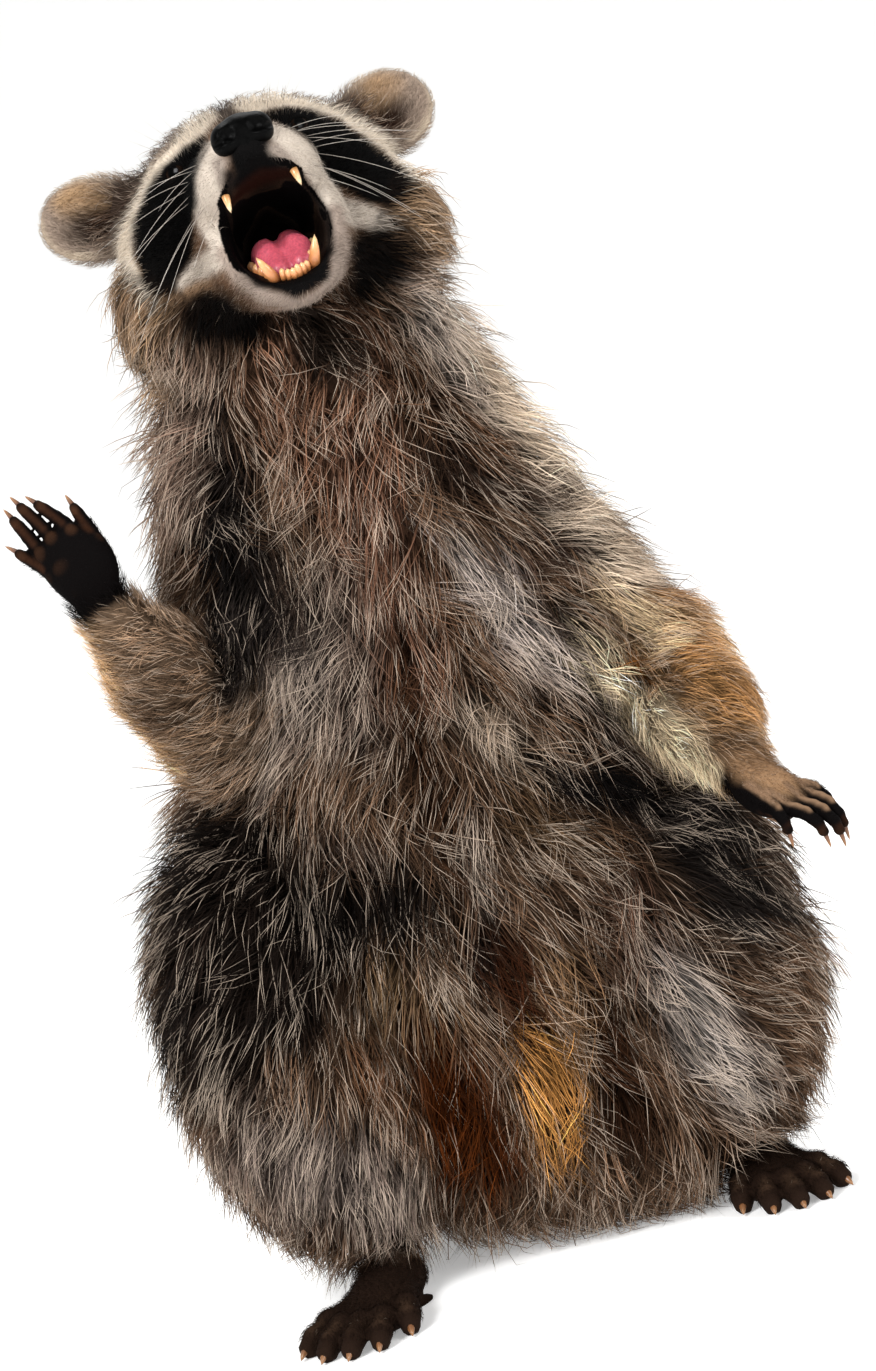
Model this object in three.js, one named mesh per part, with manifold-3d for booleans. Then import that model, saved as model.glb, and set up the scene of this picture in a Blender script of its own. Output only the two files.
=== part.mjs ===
// A common raccoon, life size, as a still museum model: it sits upright on its rump and hind feet, with its
// head raised, its mouth wide open, its right hand held up and its left hand resting on its thigh.
//
// Millimetres, +Z up. The animal faces -Y, and its left side is +X. It rests on Z = 0, with the origin under
// the middle of its box. The solids reach out to the tips of the coat. Each sub-part is one closed solid, and
// neighbours are parted by a thin gap.
//
// A place is given as [forward, left, up] in a frame: the body's, head's, jaw's, a hand's or a foot's.

import * as THREE from "three";
import { mergeVertices } from "three/addons/utils/BufferGeometryUtils.js";
import Module from "manifold-3d";

const wasm = await Module();
wasm.setup();

// ---- Driving dimensions ----------------------------------------------------------------------------------

const GAP = 0.3; // between two neighbouring solids
const MID = -14; // the trunk's middle plane, to the animal's right of the place where its legs' frame stands

const HEAD_PLACE = [46, -23.5, 501]; // the point between the eyes
const HEAD_PITCH = 18; // degrees that the palate is raised above level
const HEAD_TILT = 8; // degrees that the head leans to the animal's right
const HEAD_YAW = 3; // degrees that it turns to the animal's left
const EYE_SPACING = 50;
const EYE_RADIUS = 8.5;
// An ear's lift is how far its root stands above the eyes, and middle the place halfway between the ears.
const EAR = { length: 42, radius: 22, wall: 8, lift: { right: 9, left: 5 }, middle: 3 };
const JAW_HINGE = [-34, 0, -34];
const GAPE = 30.5; // degrees between palate and lower jaw
const INCISOR = 6.5; // its length

// The digits of a hand and a foot from the innermost to the outermost: how far their roots lie forward of the
// wrist or heel and to the side of its middle line, their length, and the degrees that they turn outwards.
const HAND = {
  palm: 38,
  radius: 3,
  claw: 6,
  digits: [
    { ahead: 29, inward: 13, length: 13, turn: 0 },
    { ahead: 38, inward: 5.5, length: 14, turn: 20 },
    { ahead: 40, inward: -3, length: 14.5, turn: 11 },
    { ahead: 37, inward: -10, length: 14, turn: 6 },
    { ahead: 26, inward: -12, length: 13, turn: 25 },
  ],
};
const FOOT = {
  palm: 72,
  radius: 5.2,
  claw: 6,
  digits: [
    { ahead: 54, inward: 15, length: 22, turn: -16 },
    { ahead: 64, inward: 8, length: 27, turn: -7 },
    { ahead: 66, inward: 0, length: 30, turn: 1 },
    { ahead: 64, inward: -8, length: 29, turn: 9 },
    { ahead: 56, inward: -15, length: 26, turn: 20 },
  ],
};

const TAIL_PATH = [
  [-100, 8, 42],
  [-148, 14, 34],
  [-200, 2, 29],
  [-240, -36, 28],
  [-256, -84, 23],
  [-250, -126, 13],
];
const TAIL_RADII = [26, 28, 30, 29, 24, 13]; // from the root to the tip

// ---- Frames and fields -----------------------------------------------------------------------------------

const vec = (x, y, z) => new THREE.Vector3(x, y, z);
const radians = THREE.MathUtils.degToRad;
const mix = THREE.MathUtils.lerp;

/** A place with its own forward, left and up directions. */
class Frame {
  constructor(origin, forward, up) {
    this.origin = origin;
    this.forward = forward.clone().normalize();
    this.left = up.clone().cross(this.forward).normalize();
    this.up = this.forward.clone().cross(this.left);
  }

  direction([forward, left, up]) {
    return vec(0, 0, 0)
      .addScaledVector(this.forward, forward)
      .addScaledVector(this.left, left)
      .addScaledVector(this.up, up);
  }

  at(place) {
    return this.direction(place).add(this.origin);
  }

  /** The same frame at another place, with its forward direction turned down by so many degrees. */
  turned(place, degrees) {
    const down = radians(degrees);
    return new Frame(this.at(place), this.direction([Math.cos(down), 0, -Math.sin(down)]), this.up);
  }
}

/** The signed distance to an ellipsoid with its half-axes along the frame's directions, true near it. */
function blob(frame, place, [a, b, c]) {
  const centre = frame.at(place);
  const offset = vec(0, 0, 0);
  return (p) => {
    offset.subVectors(p, centre);
    const f = offset.dot(frame.forward) / a;
    const l = offset.dot(frame.left) / b;
    const u = offset.dot(frame.up) / c;
    const near = Math.hypot(f, l, u);
    const slope = Math.hypot(f / a, l / b, u / c);
    return slope < 1e-6 ? -Math.min(a, b, c) : (near * (near - 1)) / slope;
  };
}

/** One field out of several, whose surfaces flow into each other over about `soft` millimetres. */
function merged(soft, ...fields) {
  return (p) =>
    fields
      .map((field) => field(p))
      .reduce((d, e) => {
        const near = Math.max(soft - Math.abs(d - e), 0) / soft;
        return Math.min(d, e) - (near * near * soft) / 4;
      });
}

// ---- Solids ----------------------------------------------------------------------------------------------

function solid(geometry) {
  const bare = geometry.clone();
  bare.deleteAttribute("normal");
  bare.deleteAttribute("uv");
  const { index, attributes } = mergeVertices(bare, 1e-3);
  return new wasm.Manifold(
    new wasm.Mesh({
      numProp: 3,
      vertProperties: attributes.position.array,
      triVerts: new Uint32Array(index.array),
    }),
  );
}

function geometryOf(manifold) {
  const { vertProperties, triVerts } = manifold.getMesh();
  const geometry = new THREE.BufferGeometry();
  geometry.setAttribute("position", new THREE.BufferAttribute(vertProperties, 3));
  geometry.setIndex(new THREE.BufferAttribute(triVerts, 1));
  geometry.computeVertexNormals();
  return geometry;
}

/**
 * A ball whose points are pushed out from `centre` until they lie on the field's surface, or `grow` outside
 * it. The points are closer together towards the long directions of `stretch`.
 */
function wrap(field, centre, detail, { stretch = [1, 1, 1], grow = 0 } = {}) {
  const step = 2;
  const ball = new THREE.IcosahedronGeometry(1, detail);
  const points = ball.getAttribute("position");
  const long = vec(...stretch);
  const direction = vec(0, 0, 0);
  const probe = vec(0, 0, 0);
  const isOut = (reach) => field(probe.copy(centre).addScaledVector(direction, reach)) > grow;
  for (let i = 0; i < points.count; i += 1) {
    direction.fromBufferAttribute(points, i).multiply(long).normalize();
    let inner = 0;
    while (!isOut(inner + step)) inner += step;
    let outer = inner + step;
    while (outer - inner > 1e-3) {
      const middle = (inner + outer) / 2;
      if (isOut(middle)) outer = middle;
      else inner = middle;
    }
    points.setXYZ(i, ...probe.copy(centre).addScaledVector(direction, inner).toArray());
  }
  return solid(ball);
}

/**
 * A limb along a smooth curve, with a radius for each of its places. `sides` faces go round it, `steps`
 * stretches lie along it, and `caps` rings round off each end. `flat` is its thickness over its width, and
 * `up` is the direction that it is flattened in.
 */
function limb(places, radii, options = {}) {
  const { sides = 10, steps = 5, caps = 2, flat = 1, up = vec(0, 0, 1), grow = 0 } = options;
  const curve = new THREE.CatmullRomCurve3(places);
  const radiusAt = (t) => {
    const along = t * (radii.length - 1);
    const first = Math.min(Math.floor(along), radii.length - 2);
    return mix(radii[first], radii[first + 1], along - first) + grow;
  };
  const ring = (t, ahead, share) => {
    const tangent = curve.getTangent(t);
    const across = up.clone().cross(tangent).normalize();
    const over = tangent.clone().cross(across);
    const centre = curve.getPoint(t).addScaledVector(tangent, ahead);
    const radius = radiusAt(t) * share;
    return Array.from({ length: sides }, (_, i) => {
      const turn = (i / sides) * 2 * Math.PI;
      return centre
        .clone()
        .addScaledVector(across, radius * Math.cos(turn))
        .addScaledVector(over, radius * flat * Math.sin(turn));
    });
  };
  const cap = (t, sign) =>
    Array.from({ length: caps }, (_, i) => {
      const turn = ((i + 1) / (caps + 1)) * (Math.PI / 2);
      return ring(t, sign * radiusAt(t) * flat * Math.cos(turn), Math.sin(turn));
    });
  const tip = (t, sign) => curve.getPoint(t).addScaledVector(curve.getTangent(t), sign * radiusAt(t) * flat);
  const along = Array.from({ length: steps + 1 }, (_, i) => ring(i / steps, 0, 1));
  const rings = [...cap(0, -1), ...along, ...cap(1, 1).reverse()];
  const points = [tip(0, -1), ...rings.flat(), tip(1, 1)];
  const end = points.length - 1;
  const index = (r, i) => 1 + r * sides + (i % sides);
  const faces = [];
  for (let i = 0; i < sides; i += 1) {
    faces.push(0, index(0, i + 1), index(0, i));
    for (let r = 0; r + 1 < rings.length; r += 1) {
      faces.push(index(r, i), index(r, i + 1), index(r + 1, i + 1));
      faces.push(index(r, i), index(r + 1, i + 1), index(r + 1, i));
    }
    faces.push(end, index(rings.length - 1, i), index(rings.length - 1, i + 1));
  }
  const geometry = new THREE.BufferGeometry().setFromPoints(points);
  geometry.setIndex(faces);
  return solid(geometry);
}

const joined = (...solids) => solids.reduce((a, b) => a.add(b));

/** The largest of the pieces that a cut left. */
function largest(manifold) {
  const pieces = manifold.decompose();
  return pieces.reduce((a, b) => (b.volume() > a.volume() ? b : a));
}

/** A pointed tooth or claw from `root` along `axis`, bent by `bend` towards `side`. */
function spike(root, axis, length, radius, { bend = 0, side = vec(0, 0, 1), sides = 4, across } = {}) {
  const shares = [0, 0.55, 1];
  const places = shares.map((t) =>
    root
      .clone()
      .addScaledVector(axis, t * length)
      .addScaledVector(side, bend * t * t),
  );
  const radii = [radius, radius * 0.75, radius * 0.2];
  return limb(places, radii, { sides, steps: 2, caps: 0, up: across ?? side.clone().cross(axis) });
}

// ---- The body --------------------------------------------------------------------------------------------

const body = new Frame(vec(0, 0, 0), vec(0, -1, 0), vec(0, 0, 1));

const trunkField = merged(
  34,
  blob(body, [-46, MID + 8, 78], [92, 108, 84]), // rump
  blob(body, [14, MID + 12, 66], [56, 86, 66]), // lap
  blob(body, [14, 50, 58], [50, 54, 58]), // lap beside the left foot
  blob(body, [-6, MID + 4, 172], [98, 105, 124]), // belly
  blob(body, [-18, MID, 285], [80, 82, 104]), // ribs
  blob(body, [-6, 74, 266], [44, 26, 62]), // flank under the left arm
  blob(body, [-22, MID - 2, 352], [64, 76, 60]), // shoulders
);

const neckField = merged(
  30,
  blob(body, [-22, MID - 3, 368], [66, 82, 60]), // base of the neck
  blob(body, [-14, MID - 4, 412], [64, 74, 60]), // throat and nape
);

const thighFields = {
  right: merged(
    26,
    blob(body, [6, -100, 140], [84, 62, 86]), // thigh
    blob(body, [34, -102, 110], [62, 54, 68]), // knee
  ),
  left: merged(
    26,
    blob(body, [0, 78, 130], [82, 60, 80]), // thigh
    blob(body, [24, 84, 102], [60, 52, 66]), // knee
  ),
};

// ---- The head --------------------------------------------------------------------------------------------

/** The head's frame: its origin lies between the eyes, and forward is along the palate. */
const head = (() => {
  const pitch = radians(HEAD_PITCH);
  const tilt = radians(HEAD_TILT);
  const yaw = radians(HEAD_YAW);
  const forward = vec(Math.sin(yaw) * Math.cos(pitch), -Math.cos(yaw) * Math.cos(pitch), Math.sin(pitch));
  const up = vec(-Math.sin(tilt), Math.sin(pitch) * Math.cos(tilt), Math.cos(pitch) * Math.cos(tilt));
  return new Frame(body.at(HEAD_PLACE), forward, up);
})();

/** The lower jaw's frame and the mouth's: both start at the hinge, along the jaw and midway to the palate. */
const jaw = head.turned(JAW_HINGE, GAPE);
const mouth = head.turned(JAW_HINGE, GAPE / 2);

const craniumField = merged(
  14,
  blob(head, [-48, 0, 1], [49, 54, 36]), // braincase
  blob(head, [-20, 0, 0], [28, 38, 24]), // brows
  blob(head, [-52, 0, -26], [44, 62, 40]), // back of the cheeks
  blob(head, [-42, 49, -40], [34, 32, 37]), // left cheek ruff
  blob(head, [-42, -48, -40], [34, 32, 37]), // right cheek ruff
  blob(head, [-4, 0, -10], [34, 22, 20]), // root of the muzzle
);

const muzzleField = merged(
  8,
  blob(head, [8, 0, -12], [40, 24, 17]), // bridge
  blob(head, [34, 0, -17], [20, 17, 12]), // tip
  blob(head, [22, 14, -21], [26, 14, 12]), // left whisker pad
  blob(head, [22, -14, -21], [26, 14, 12]), // right whisker pad
);

const mouthCorner = (hand) => blob(mouth, [36, hand * 24, -1], [21, 9, 21]);

const jawField = merged(
  12,
  blob(jaw, [62, 0, -5], [17, 17, 11]), // chin
  blob(jaw, [42, 14, -2], [28, 10, 12]), // left branch
  blob(jaw, [42, -14, -2], [28, 10, 12]), // right branch
  blob(jaw, [28, 0, -8], [26, 24, 15]), // throat end
);

const noseField = merged(
  5,
  blob(head, [49, 0, -13], [8, 10, 8]), // bridge of the pad
  blob(head, [50, 6.5, -14], [6.5, 6, 7]), // left wing
  blob(head, [50, -6.5, -14], [6.5, 6, 7]), // right wing
);

/** The hollow of the open mouth, from the throat out past the lips. */
const mouthHollow = limb(
  [mouth.at([16, 0, -1]), mouth.at([42, 0, 0]), mouth.at([68, 0, 0]), mouth.at([110, 0, 0])],
  [10, 17, 21, 30],
  { sides: 10, steps: 3, caps: 1, up: mouth.up },
);

const upperRow = { frame: head, front: 42, half: 14.5, back: 6, level: -26, edge: -1, canine: 9, width: 2.4 };
const lowerRow = { frame: jaw, front: 70, half: 10.5, back: 34, level: 2, edge: 1, canine: 12, width: 2.3 };

/** The teeth of one jaw on their gum, a bar bent round the jaw's front. `edge` is which way they point. */
function teeth({ frame, front, half, back, level, edge, canine, width }) {
  const side = front - 8; // where the canines stand
  const bar = [
    [back, -half - 5, level],
    [side, -half, level],
    [front, -half * 0.5, level],
    [front, half * 0.5, level],
    [side, half, level],
    [back, half + 5, level],
  ];
  const gum = limb(bar.map((place) => frame.at(place)), [3.4, 3.2, 2.8, 2.8, 3.2, 3.4], {
    sides: 5,
    steps: 5,
    caps: 0,
    up: frame.up,
  });
  const axis = frame.direction([0, 0, edge]);
  const across = frame.left;
  const row = [];
  for (const hand of [-1, 1]) {
    row.push(spike(frame.at([side + 2, hand * half, level]), axis, canine, width, { across, sides: 5 }));
    for (const share of [0.1, 0.35, 0.6]) {
      const place = frame.at([front, hand * half * share, level]);
      row.push(spike(place, axis, INCISOR, width * 0.7, { across }));
    }
  }
  return joined(gum, ...row);
}

function headSolid(grow) {
  const cranium = wrap(craniumField, head.at([-34, 0, -16]), 3, { grow });
  const muzzle = wrap(muzzleField, head.at([20, 0, -16]), 2, { stretch: [1, 1.4, 1], grow });
  const corners = [-1, 1].map((hand) => wrap(mouthCorner(hand), mouth.at([36, hand * 24, -1]), 1, { grow }));
  return joined(cranium, muzzle, ...corners).subtract(mouthHollow).add(teeth(upperRow));
}

function jawSolid(grow) {
  const whole = wrap(jawField, jaw.at([38, 0, -4]), 2, { stretch: [1, 1.3, 1], grow });
  return whole.subtract(mouthHollow).add(teeth(lowerRow));
}

function tongueSolid(grow) {
  const places = [[16, 0, 2], [34, 0, 6], [50, 0, 7], [62, 0, 7]].map((place) => jaw.at(place));
  return limb(places, [9, 13, 12.5, 8], { sides: 10, steps: 4, caps: 1, flat: 0.38, up: jaw.up, grow });
}

function eyeSolid(hand, grow) {
  const centre = head.at([-3, (hand * EYE_SPACING) / 2, -1]);
  return solid(new THREE.IcosahedronGeometry(EYE_RADIUS + grow, 1).translate(...centre.toArray()));
}

/** A cupped ear: a flattened ball whose front is hollowed out. */
function earSolid(side, hand, grow) {
  const { length, radius, wall, middle } = EAR;
  const lift = EAR.lift[side];
  const base = head.at([-54, middle + hand * 58, lift]);
  const along = head.at([-68, middle + hand * 90, lift + 23]).sub(base);
  const ear = new Frame(base, along, head.forward.clone().negate());
  const shell = blob(ear, [length * 0.42, 0, 0], [length * 0.6, radius, wall]);
  const cup = blob(ear, [length * 0.46, 0, -wall - 2], [length * 0.46, radius * 0.74, wall + 4]);
  const whole = wrap(shell, ear.at([length * 0.42, 0, 3]), 2, { grow });
  return whole.subtract(wrap(cup, ear.at([length * 0.46, 0, -wall]), 1));
}

// ---- Hands and feet --------------------------------------------------------------------------------------

/** A hand or foot in its own frame, whose origin is the wrist or heel and whose up is its back. */
class Paw {
  constructor(frame, size, hand, { curl, drop, palmField }) {
    Object.assign(this, { frame, size, hand, curl, drop, palmField });
  }

  /** The place at a share `t` of a digit's length, lifted above the paw's plane. */
  along({ ahead, inward, length, turn }, t, lift) {
    const outward = radians(turn);
    const forward = ahead + Math.cos(outward) * t * length;
    const side = Math.sin(outward) * t * length - inward;
    return this.frame.at([forward, this.hand * side, lift]);
  }

  solid(grow) {
    const { frame, size, curl } = this;
    const r = size.radius;
    const lifts = [0, r * 0.7, r * 0.3 - curl * 0.3, -curl];
    const radii = [r * 1.2, r * 1.15, r, r * 0.9];
    const digits = size.digits.map((digit) => {
      const places = [-0.4, 0.3, 0.7, 1].map((t, i) => this.along(digit, t, lifts[i]));
      return limb(places, radii, { sides: 5, steps: 2, caps: 1, up: frame.up, grow });
    });
    return joined(wrap(this.palmField, frame.at([size.palm / 2, 0, 2]), 1, { grow }), ...digits);
  }

  claw(digit) {
    const { frame, size, curl, drop } = this;
    const root = this.along(digit, 1, size.radius * 0.35 - curl);
    const ahead = this.along(digit, 2, size.radius * 0.35 - curl).sub(root).normalize();
    const down = frame.direction([0, 0, -1]);
    const axis = ahead.addScaledVector(down, drop).normalize();
    const bend = size.claw * 0.3;
    const shape = { bend, side: down, sides: 3, across: frame.left };
    return spike(root, axis, size.radius + size.claw, size.radius * 0.5, shape);
  }
}

const limbs = {
  right: {
    hand: -1,
    shoulder: [-16, -70, 338],
    elbow: [10, -98, 258],
    wrist: [66, -129, 330],
    fingers: vec(-0.3, -0.15, 0.94),
    back: vec(0, 1, 0.1),
    handCurl: 0,
    handDrop: 0.1,
    knee: [40, -106, 90],
    ankle: [36, -88, 32],
    heel: [30, -82],
    toes: vec(-0.27, -1, 0),
  },
  left: {
    hand: 1,
    shoulder: [-14, 41, 334],
    elbow: [2, 106, 238],
    wrist: [72, 116, 191],
    fingers: vec(0.5, -0.66, -0.5),
    back: vec(0.3, -0.4, 0.86),
    handCurl: 3,
    handDrop: 1,
    knee: [30, 88, 86],
    ankle: [-14, 82, 32],
    heel: [-22, 82],
    toes: vec(0.12, -1, 0),
  },
};

function handOf(side) {
  const { hand, wrist, fingers, back, handCurl, handDrop } = limbs[side];
  const frame = new Frame(body.at(wrist), fingers, back);
  const palmField = merged(
    8,
    blob(frame, [12, 0, 0], [17, 11, 8]), // heel of the hand
    blob(frame, [25, 0, 0], [16, 15, 6.5]), // palm
    blob(frame, [22, hand * -10, 0], [12, 8, 7]), // ball of the thumb
  );
  return new Paw(frame, HAND, hand, { curl: handCurl, drop: handDrop, palmField });
}

function footOf(side) {
  const { hand, heel, toes } = limbs[side];
  const frame = new Frame(body.at([...heel, FOOT.radius - 0.8]), toes, vec(0, 0, 1));
  const palmField = merged(
    14,
    blob(frame, [12, 0, 5], [20, 14, 13]), // heel
    blob(frame, [36, 0, 6], [30, 17, 14]), // instep
    blob(frame, [58, 0, 1], [20, 22, 9]), // ball
  );
  return new Paw(frame, FOOT, hand, { curl: 0, drop: 0.35, palmField });
}

/** A straight length of limb between two joints, with its radii at both ends and halfway. */
function between(a, b, radii, grow) {
  const [start, end] = [body.at(a), body.at(b)];
  const halfway = start.clone().lerp(end, 0.5);
  return limb([start, halfway, end], radii, { sides: 9, steps: 3, up: vec(0, 1, 0), grow });
}

function tailSolid(grow) {
  return limb(TAIL_PATH.map((place) => body.at(place)), TAIL_RADII, { sides: 9, steps: 8, grow });
}

// ---- Finishes --------------------------------------------------------------------------------------------

const finish = (color, roughness) => new THREE.MeshStandardMaterial({ color, roughness, metalness: 0 });
const FINISHES = {
  coat: finish(0x6e5f52, 0.95),
  ear: finish(0xa39483, 0.95),
  paw: finish(0x2c2019, 0.7),
  claw: finish(0x6b4a2e, 0.45),
  eye: finish(0x120c08, 0.08),
  nose: finish(0x0c0c0e, 0.35),
  tongue: finish(0xc8586a, 0.45),
};

// ---- The whole animal ------------------------------------------------------------------------------------

/** The sub-parts, in the order in which they claim their space: each one is cut back by those before it. */
function subParts() {
  const list = [];
  const part = (name, material, make) => list.push({ name, material, make });
  const sides = Object.entries(limbs);
  for (const [side, { hand }] of sides) part(`eye_${side}`, FINISHES.eye, (grow) => eyeSolid(hand, grow));
  part("nose", FINISHES.nose, (grow) => wrap(noseField, head.at([50, 0, -14]), 1, { grow }));
  part("tongue", FINISHES.tongue, tongueSolid);
  part("head", FINISHES.coat, headSolid);
  part("lower_jaw", FINISHES.coat, jawSolid);
  for (const [side, { hand, elbow, wrist, knee, ankle }] of sides) {
    part(`ear_${side}`, FINISHES.ear, (grow) => earSolid(side, hand, grow));
    for (const [kind, paw] of Object.entries({ hand: handOf(side), foot: footOf(side) })) {
      part(`${kind}_${side}`, FINISHES.paw, (grow) => paw.solid(grow));
      paw.size.digits.forEach((digit, i) =>
        part(`claw_${kind}_${side}_${i + 1}`, FINISHES.claw, () => paw.claw(digit)),
      );
    }
    part(`forearm_${side}`, FINISHES.coat, (grow) => between(elbow, wrist, [28, 26, 14], grow));
    part(`lower_leg_${side}`, FINISHES.coat, (grow) => between(knee, ankle, [48, 42, 25], grow));
  }
  part("trunk", FINISHES.coat, (grow) =>
    wrap(trunkField, body.at([-10, MID + 4, 190]), 3, { stretch: [1, 1, 1.5], grow }),
  );
  for (const [side, { hand, shoulder, elbow }] of sides) {
    const inThigh = body.at([14, hand * 88 - 6, 128]);
    part(`thigh_${side}`, FINISHES.coat, (grow) => wrap(thighFields[side], inThigh, 2, { grow }));
    part(`upper_arm_${side}`, FINISHES.coat, (grow) => between(shoulder, elbow, [33, 31, 29], grow));
  }
  part("neck", FINISHES.coat, (grow) => wrap(neckField, body.at([-18, MID - 3, 392]), 2, { grow }));
  part("tail", FINISHES.coat, tailSolid);
  return list;
}

const ground = solid(new THREE.BoxGeometry(2000, 2000, 200).translate(0, 0, -100)); // below the floor

const raccoon = new THREE.Group();
raccoon.name = "raccoon";
let claimed = ground;
for (const { name, material, make } of subParts()) {
  const mesh = new THREE.Mesh(geometryOf(largest(make(0).subtract(claimed))), material);
  mesh.name = name;
  raccoon.add(mesh);
  claimed = claimed.add(make(GAP));
}

const middle = new THREE.Box3().setFromObject(raccoon).getCenter(vec(0, 0, 0));
raccoon.position.set(-middle.x, -middle.y, 0);

export default raccoon;
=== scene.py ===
"""A common raccoon, life size, as a still museum model.

One skin under a coat of fur, with its eyes, nose, tongue, teeth, claws and whiskers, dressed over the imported
solids. Lengths are millimetres in the body's own axes (+X the animal's left, -Y ahead, +Z up), with the
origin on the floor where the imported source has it, and go to the frame's metres when a mesh is made. A place
in a Frame is (forward, left, up).
"""

import logging
import math
from dataclasses import dataclass, field
from enum import Enum
from typing import Iterable, Protocol, Sequence

import bpy
import numpy as np
import openvdb
from bpy.types import Material, Node, NodeSocket, NodeTree, Object
from mathutils import Matrix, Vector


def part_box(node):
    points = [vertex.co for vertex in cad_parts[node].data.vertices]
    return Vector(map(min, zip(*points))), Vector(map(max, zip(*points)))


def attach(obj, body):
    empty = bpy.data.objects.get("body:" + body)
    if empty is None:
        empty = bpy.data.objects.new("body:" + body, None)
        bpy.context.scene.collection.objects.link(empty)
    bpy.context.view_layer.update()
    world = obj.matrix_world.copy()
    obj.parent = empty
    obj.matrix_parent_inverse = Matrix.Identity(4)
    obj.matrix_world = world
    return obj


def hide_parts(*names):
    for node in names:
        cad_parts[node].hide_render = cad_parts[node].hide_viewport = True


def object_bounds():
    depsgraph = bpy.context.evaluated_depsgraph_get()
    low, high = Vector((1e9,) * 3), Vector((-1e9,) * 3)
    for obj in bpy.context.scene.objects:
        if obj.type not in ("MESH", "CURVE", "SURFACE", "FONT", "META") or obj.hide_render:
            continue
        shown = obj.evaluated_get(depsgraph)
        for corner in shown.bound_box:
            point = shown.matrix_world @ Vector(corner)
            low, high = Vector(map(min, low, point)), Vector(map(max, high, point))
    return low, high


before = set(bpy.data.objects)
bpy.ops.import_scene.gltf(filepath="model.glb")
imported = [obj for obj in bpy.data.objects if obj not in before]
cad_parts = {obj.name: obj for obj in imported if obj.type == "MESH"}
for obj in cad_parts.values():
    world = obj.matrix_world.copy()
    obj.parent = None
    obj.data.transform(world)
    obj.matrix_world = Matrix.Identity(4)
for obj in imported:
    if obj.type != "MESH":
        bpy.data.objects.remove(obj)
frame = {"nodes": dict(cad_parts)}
CAD_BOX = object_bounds()

log = logging.getLogger("raccoon")
Array = np.ndarray
Place = tuple[float, float, float]

MM = 0.001
FAR = 60.0  # a distance that is nowhere near a surface
SIDES = (("right", -1), ("left", 1))


# ---- Frames and shapes ----


def unit(vectors: Array) -> Array:
    """Vectors of length one, along the last axis."""
    return vectors / np.maximum(np.linalg.norm(vectors, axis=-1, keepdims=True), 1e-9)


def smooth(value: Array) -> Array:
    """A soft step from 0 to 1 as value goes from 0 to 1."""
    t = np.clip(value, 0, 1)
    return t * t * (3 - 2 * t)


@dataclass(frozen=True)
class Frame:
    """A place with its own forward, left and up directions, which are the rows of axes."""

    origin: Array
    axes: Array

    @classmethod
    def facing(cls, origin: Sequence[float], forward: Sequence[float], up: Sequence[float]) -> "Frame":
        """A frame that looks along a direction.

        Args:
            origin: Its place.
            forward: Where it looks.
            up: What its up is to be near.

        Returns:
            The frame.
        """
        ahead = unit(np.asarray(forward, float))
        left = unit(np.cross(up, ahead))
        return cls(np.asarray(origin, float), np.array([ahead, left, np.cross(ahead, left)]))

    def direction(self, place: Sequence[float]) -> Array:
        """The body's direction for (forward, left, up)."""
        return np.asarray(place, float) @ self.axes

    def at(self, place: Sequence[float]) -> Array:
        """The body's point for (forward, left, up)."""
        return self.origin + self.direction(place)

    def local(self, points: Array) -> Array:
        """(forward, left, up) of the body's points."""
        return (points - self.origin) @ self.axes.T

    def turned(self, place: Sequence[float], degrees: float) -> "Frame":
        """This frame, moved and turned down.

        Args:
            place: Its new place.
            degrees: How far it turns down.

        Returns:
            The new frame.
        """
        down = math.radians(degrees)
        ahead = self.direction((math.cos(down), 0, -math.sin(down)))
        return Frame.facing(self.at(place), ahead, self.axes[2])


class Shape(Protocol):
    """A form with a signed distance, negative inside."""

    centre: Array
    reach: float

    def distance(self, points: Array) -> Array:
        """The distance from each point to the surface."""


Worked = tuple[Shape, float]  # a shape, with how softly it is joined or cut


@dataclass(frozen=True)
class Lump:
    """An ellipsoid whose half-axes lie along a frame's directions."""

    frame: Frame
    place: Place
    radii: Place

    @property
    def centre(self) -> Array:
        """The ellipsoid's middle."""
        return self.frame.at(self.place)

    @property
    def reach(self) -> float:
        """The longest half-axis."""
        return max(self.radii)

    def distance(self, points: Array) -> Array:
        """The distance to the surface, true near it.

        Args:
            points: (n, 3) places.

        Returns:
            The distance at each.
        """
        radii = np.array(self.radii, points.dtype)
        scaled = (points - self.centre.astype(points.dtype)) @ self.frame.axes.T.astype(points.dtype) / radii
        near = np.linalg.norm(scaled, axis=-1)
        return near * (near - 1) / np.maximum(np.linalg.norm(scaled / radii, axis=-1), 1e-4)


@dataclass(frozen=True)
class Bone:
    """A straight round length with a radius at each end."""

    start: Array
    end: Array
    radii: tuple[float, float]

    @property
    def centre(self) -> Array:
        """The point halfway along."""
        return (self.start + self.end) / 2

    @property
    def reach(self) -> float:
        """How far it reaches from its centre."""
        return float(np.linalg.norm(self.end - self.start)) / 2 + max(self.radii)

    def distance(self, points: Array) -> Array:
        """The distance to the surface.

        Args:
            points: (n, 3) places.

        Returns:
            The distance at each.
        """
        start, along = self.start.astype(points.dtype), (self.end - self.start).astype(points.dtype)
        offset = points - start
        share = np.clip(offset @ along / max(float(along @ along), 1e-6), 0, 1)
        thin, thick = self.radii
        return np.linalg.norm(offset - share[..., None] * along, axis=-1) - (thin + (thick - thin) * share)


def bones(places: Sequence[Array], radii: Sequence[float]) -> list[Bone]:
    """The straight lengths that join a row of points, with a radius at each."""
    return [Bone(a, b, (r, s)) for a, b, r, s in zip(places, places[1:], radii, radii[1:])]


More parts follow.
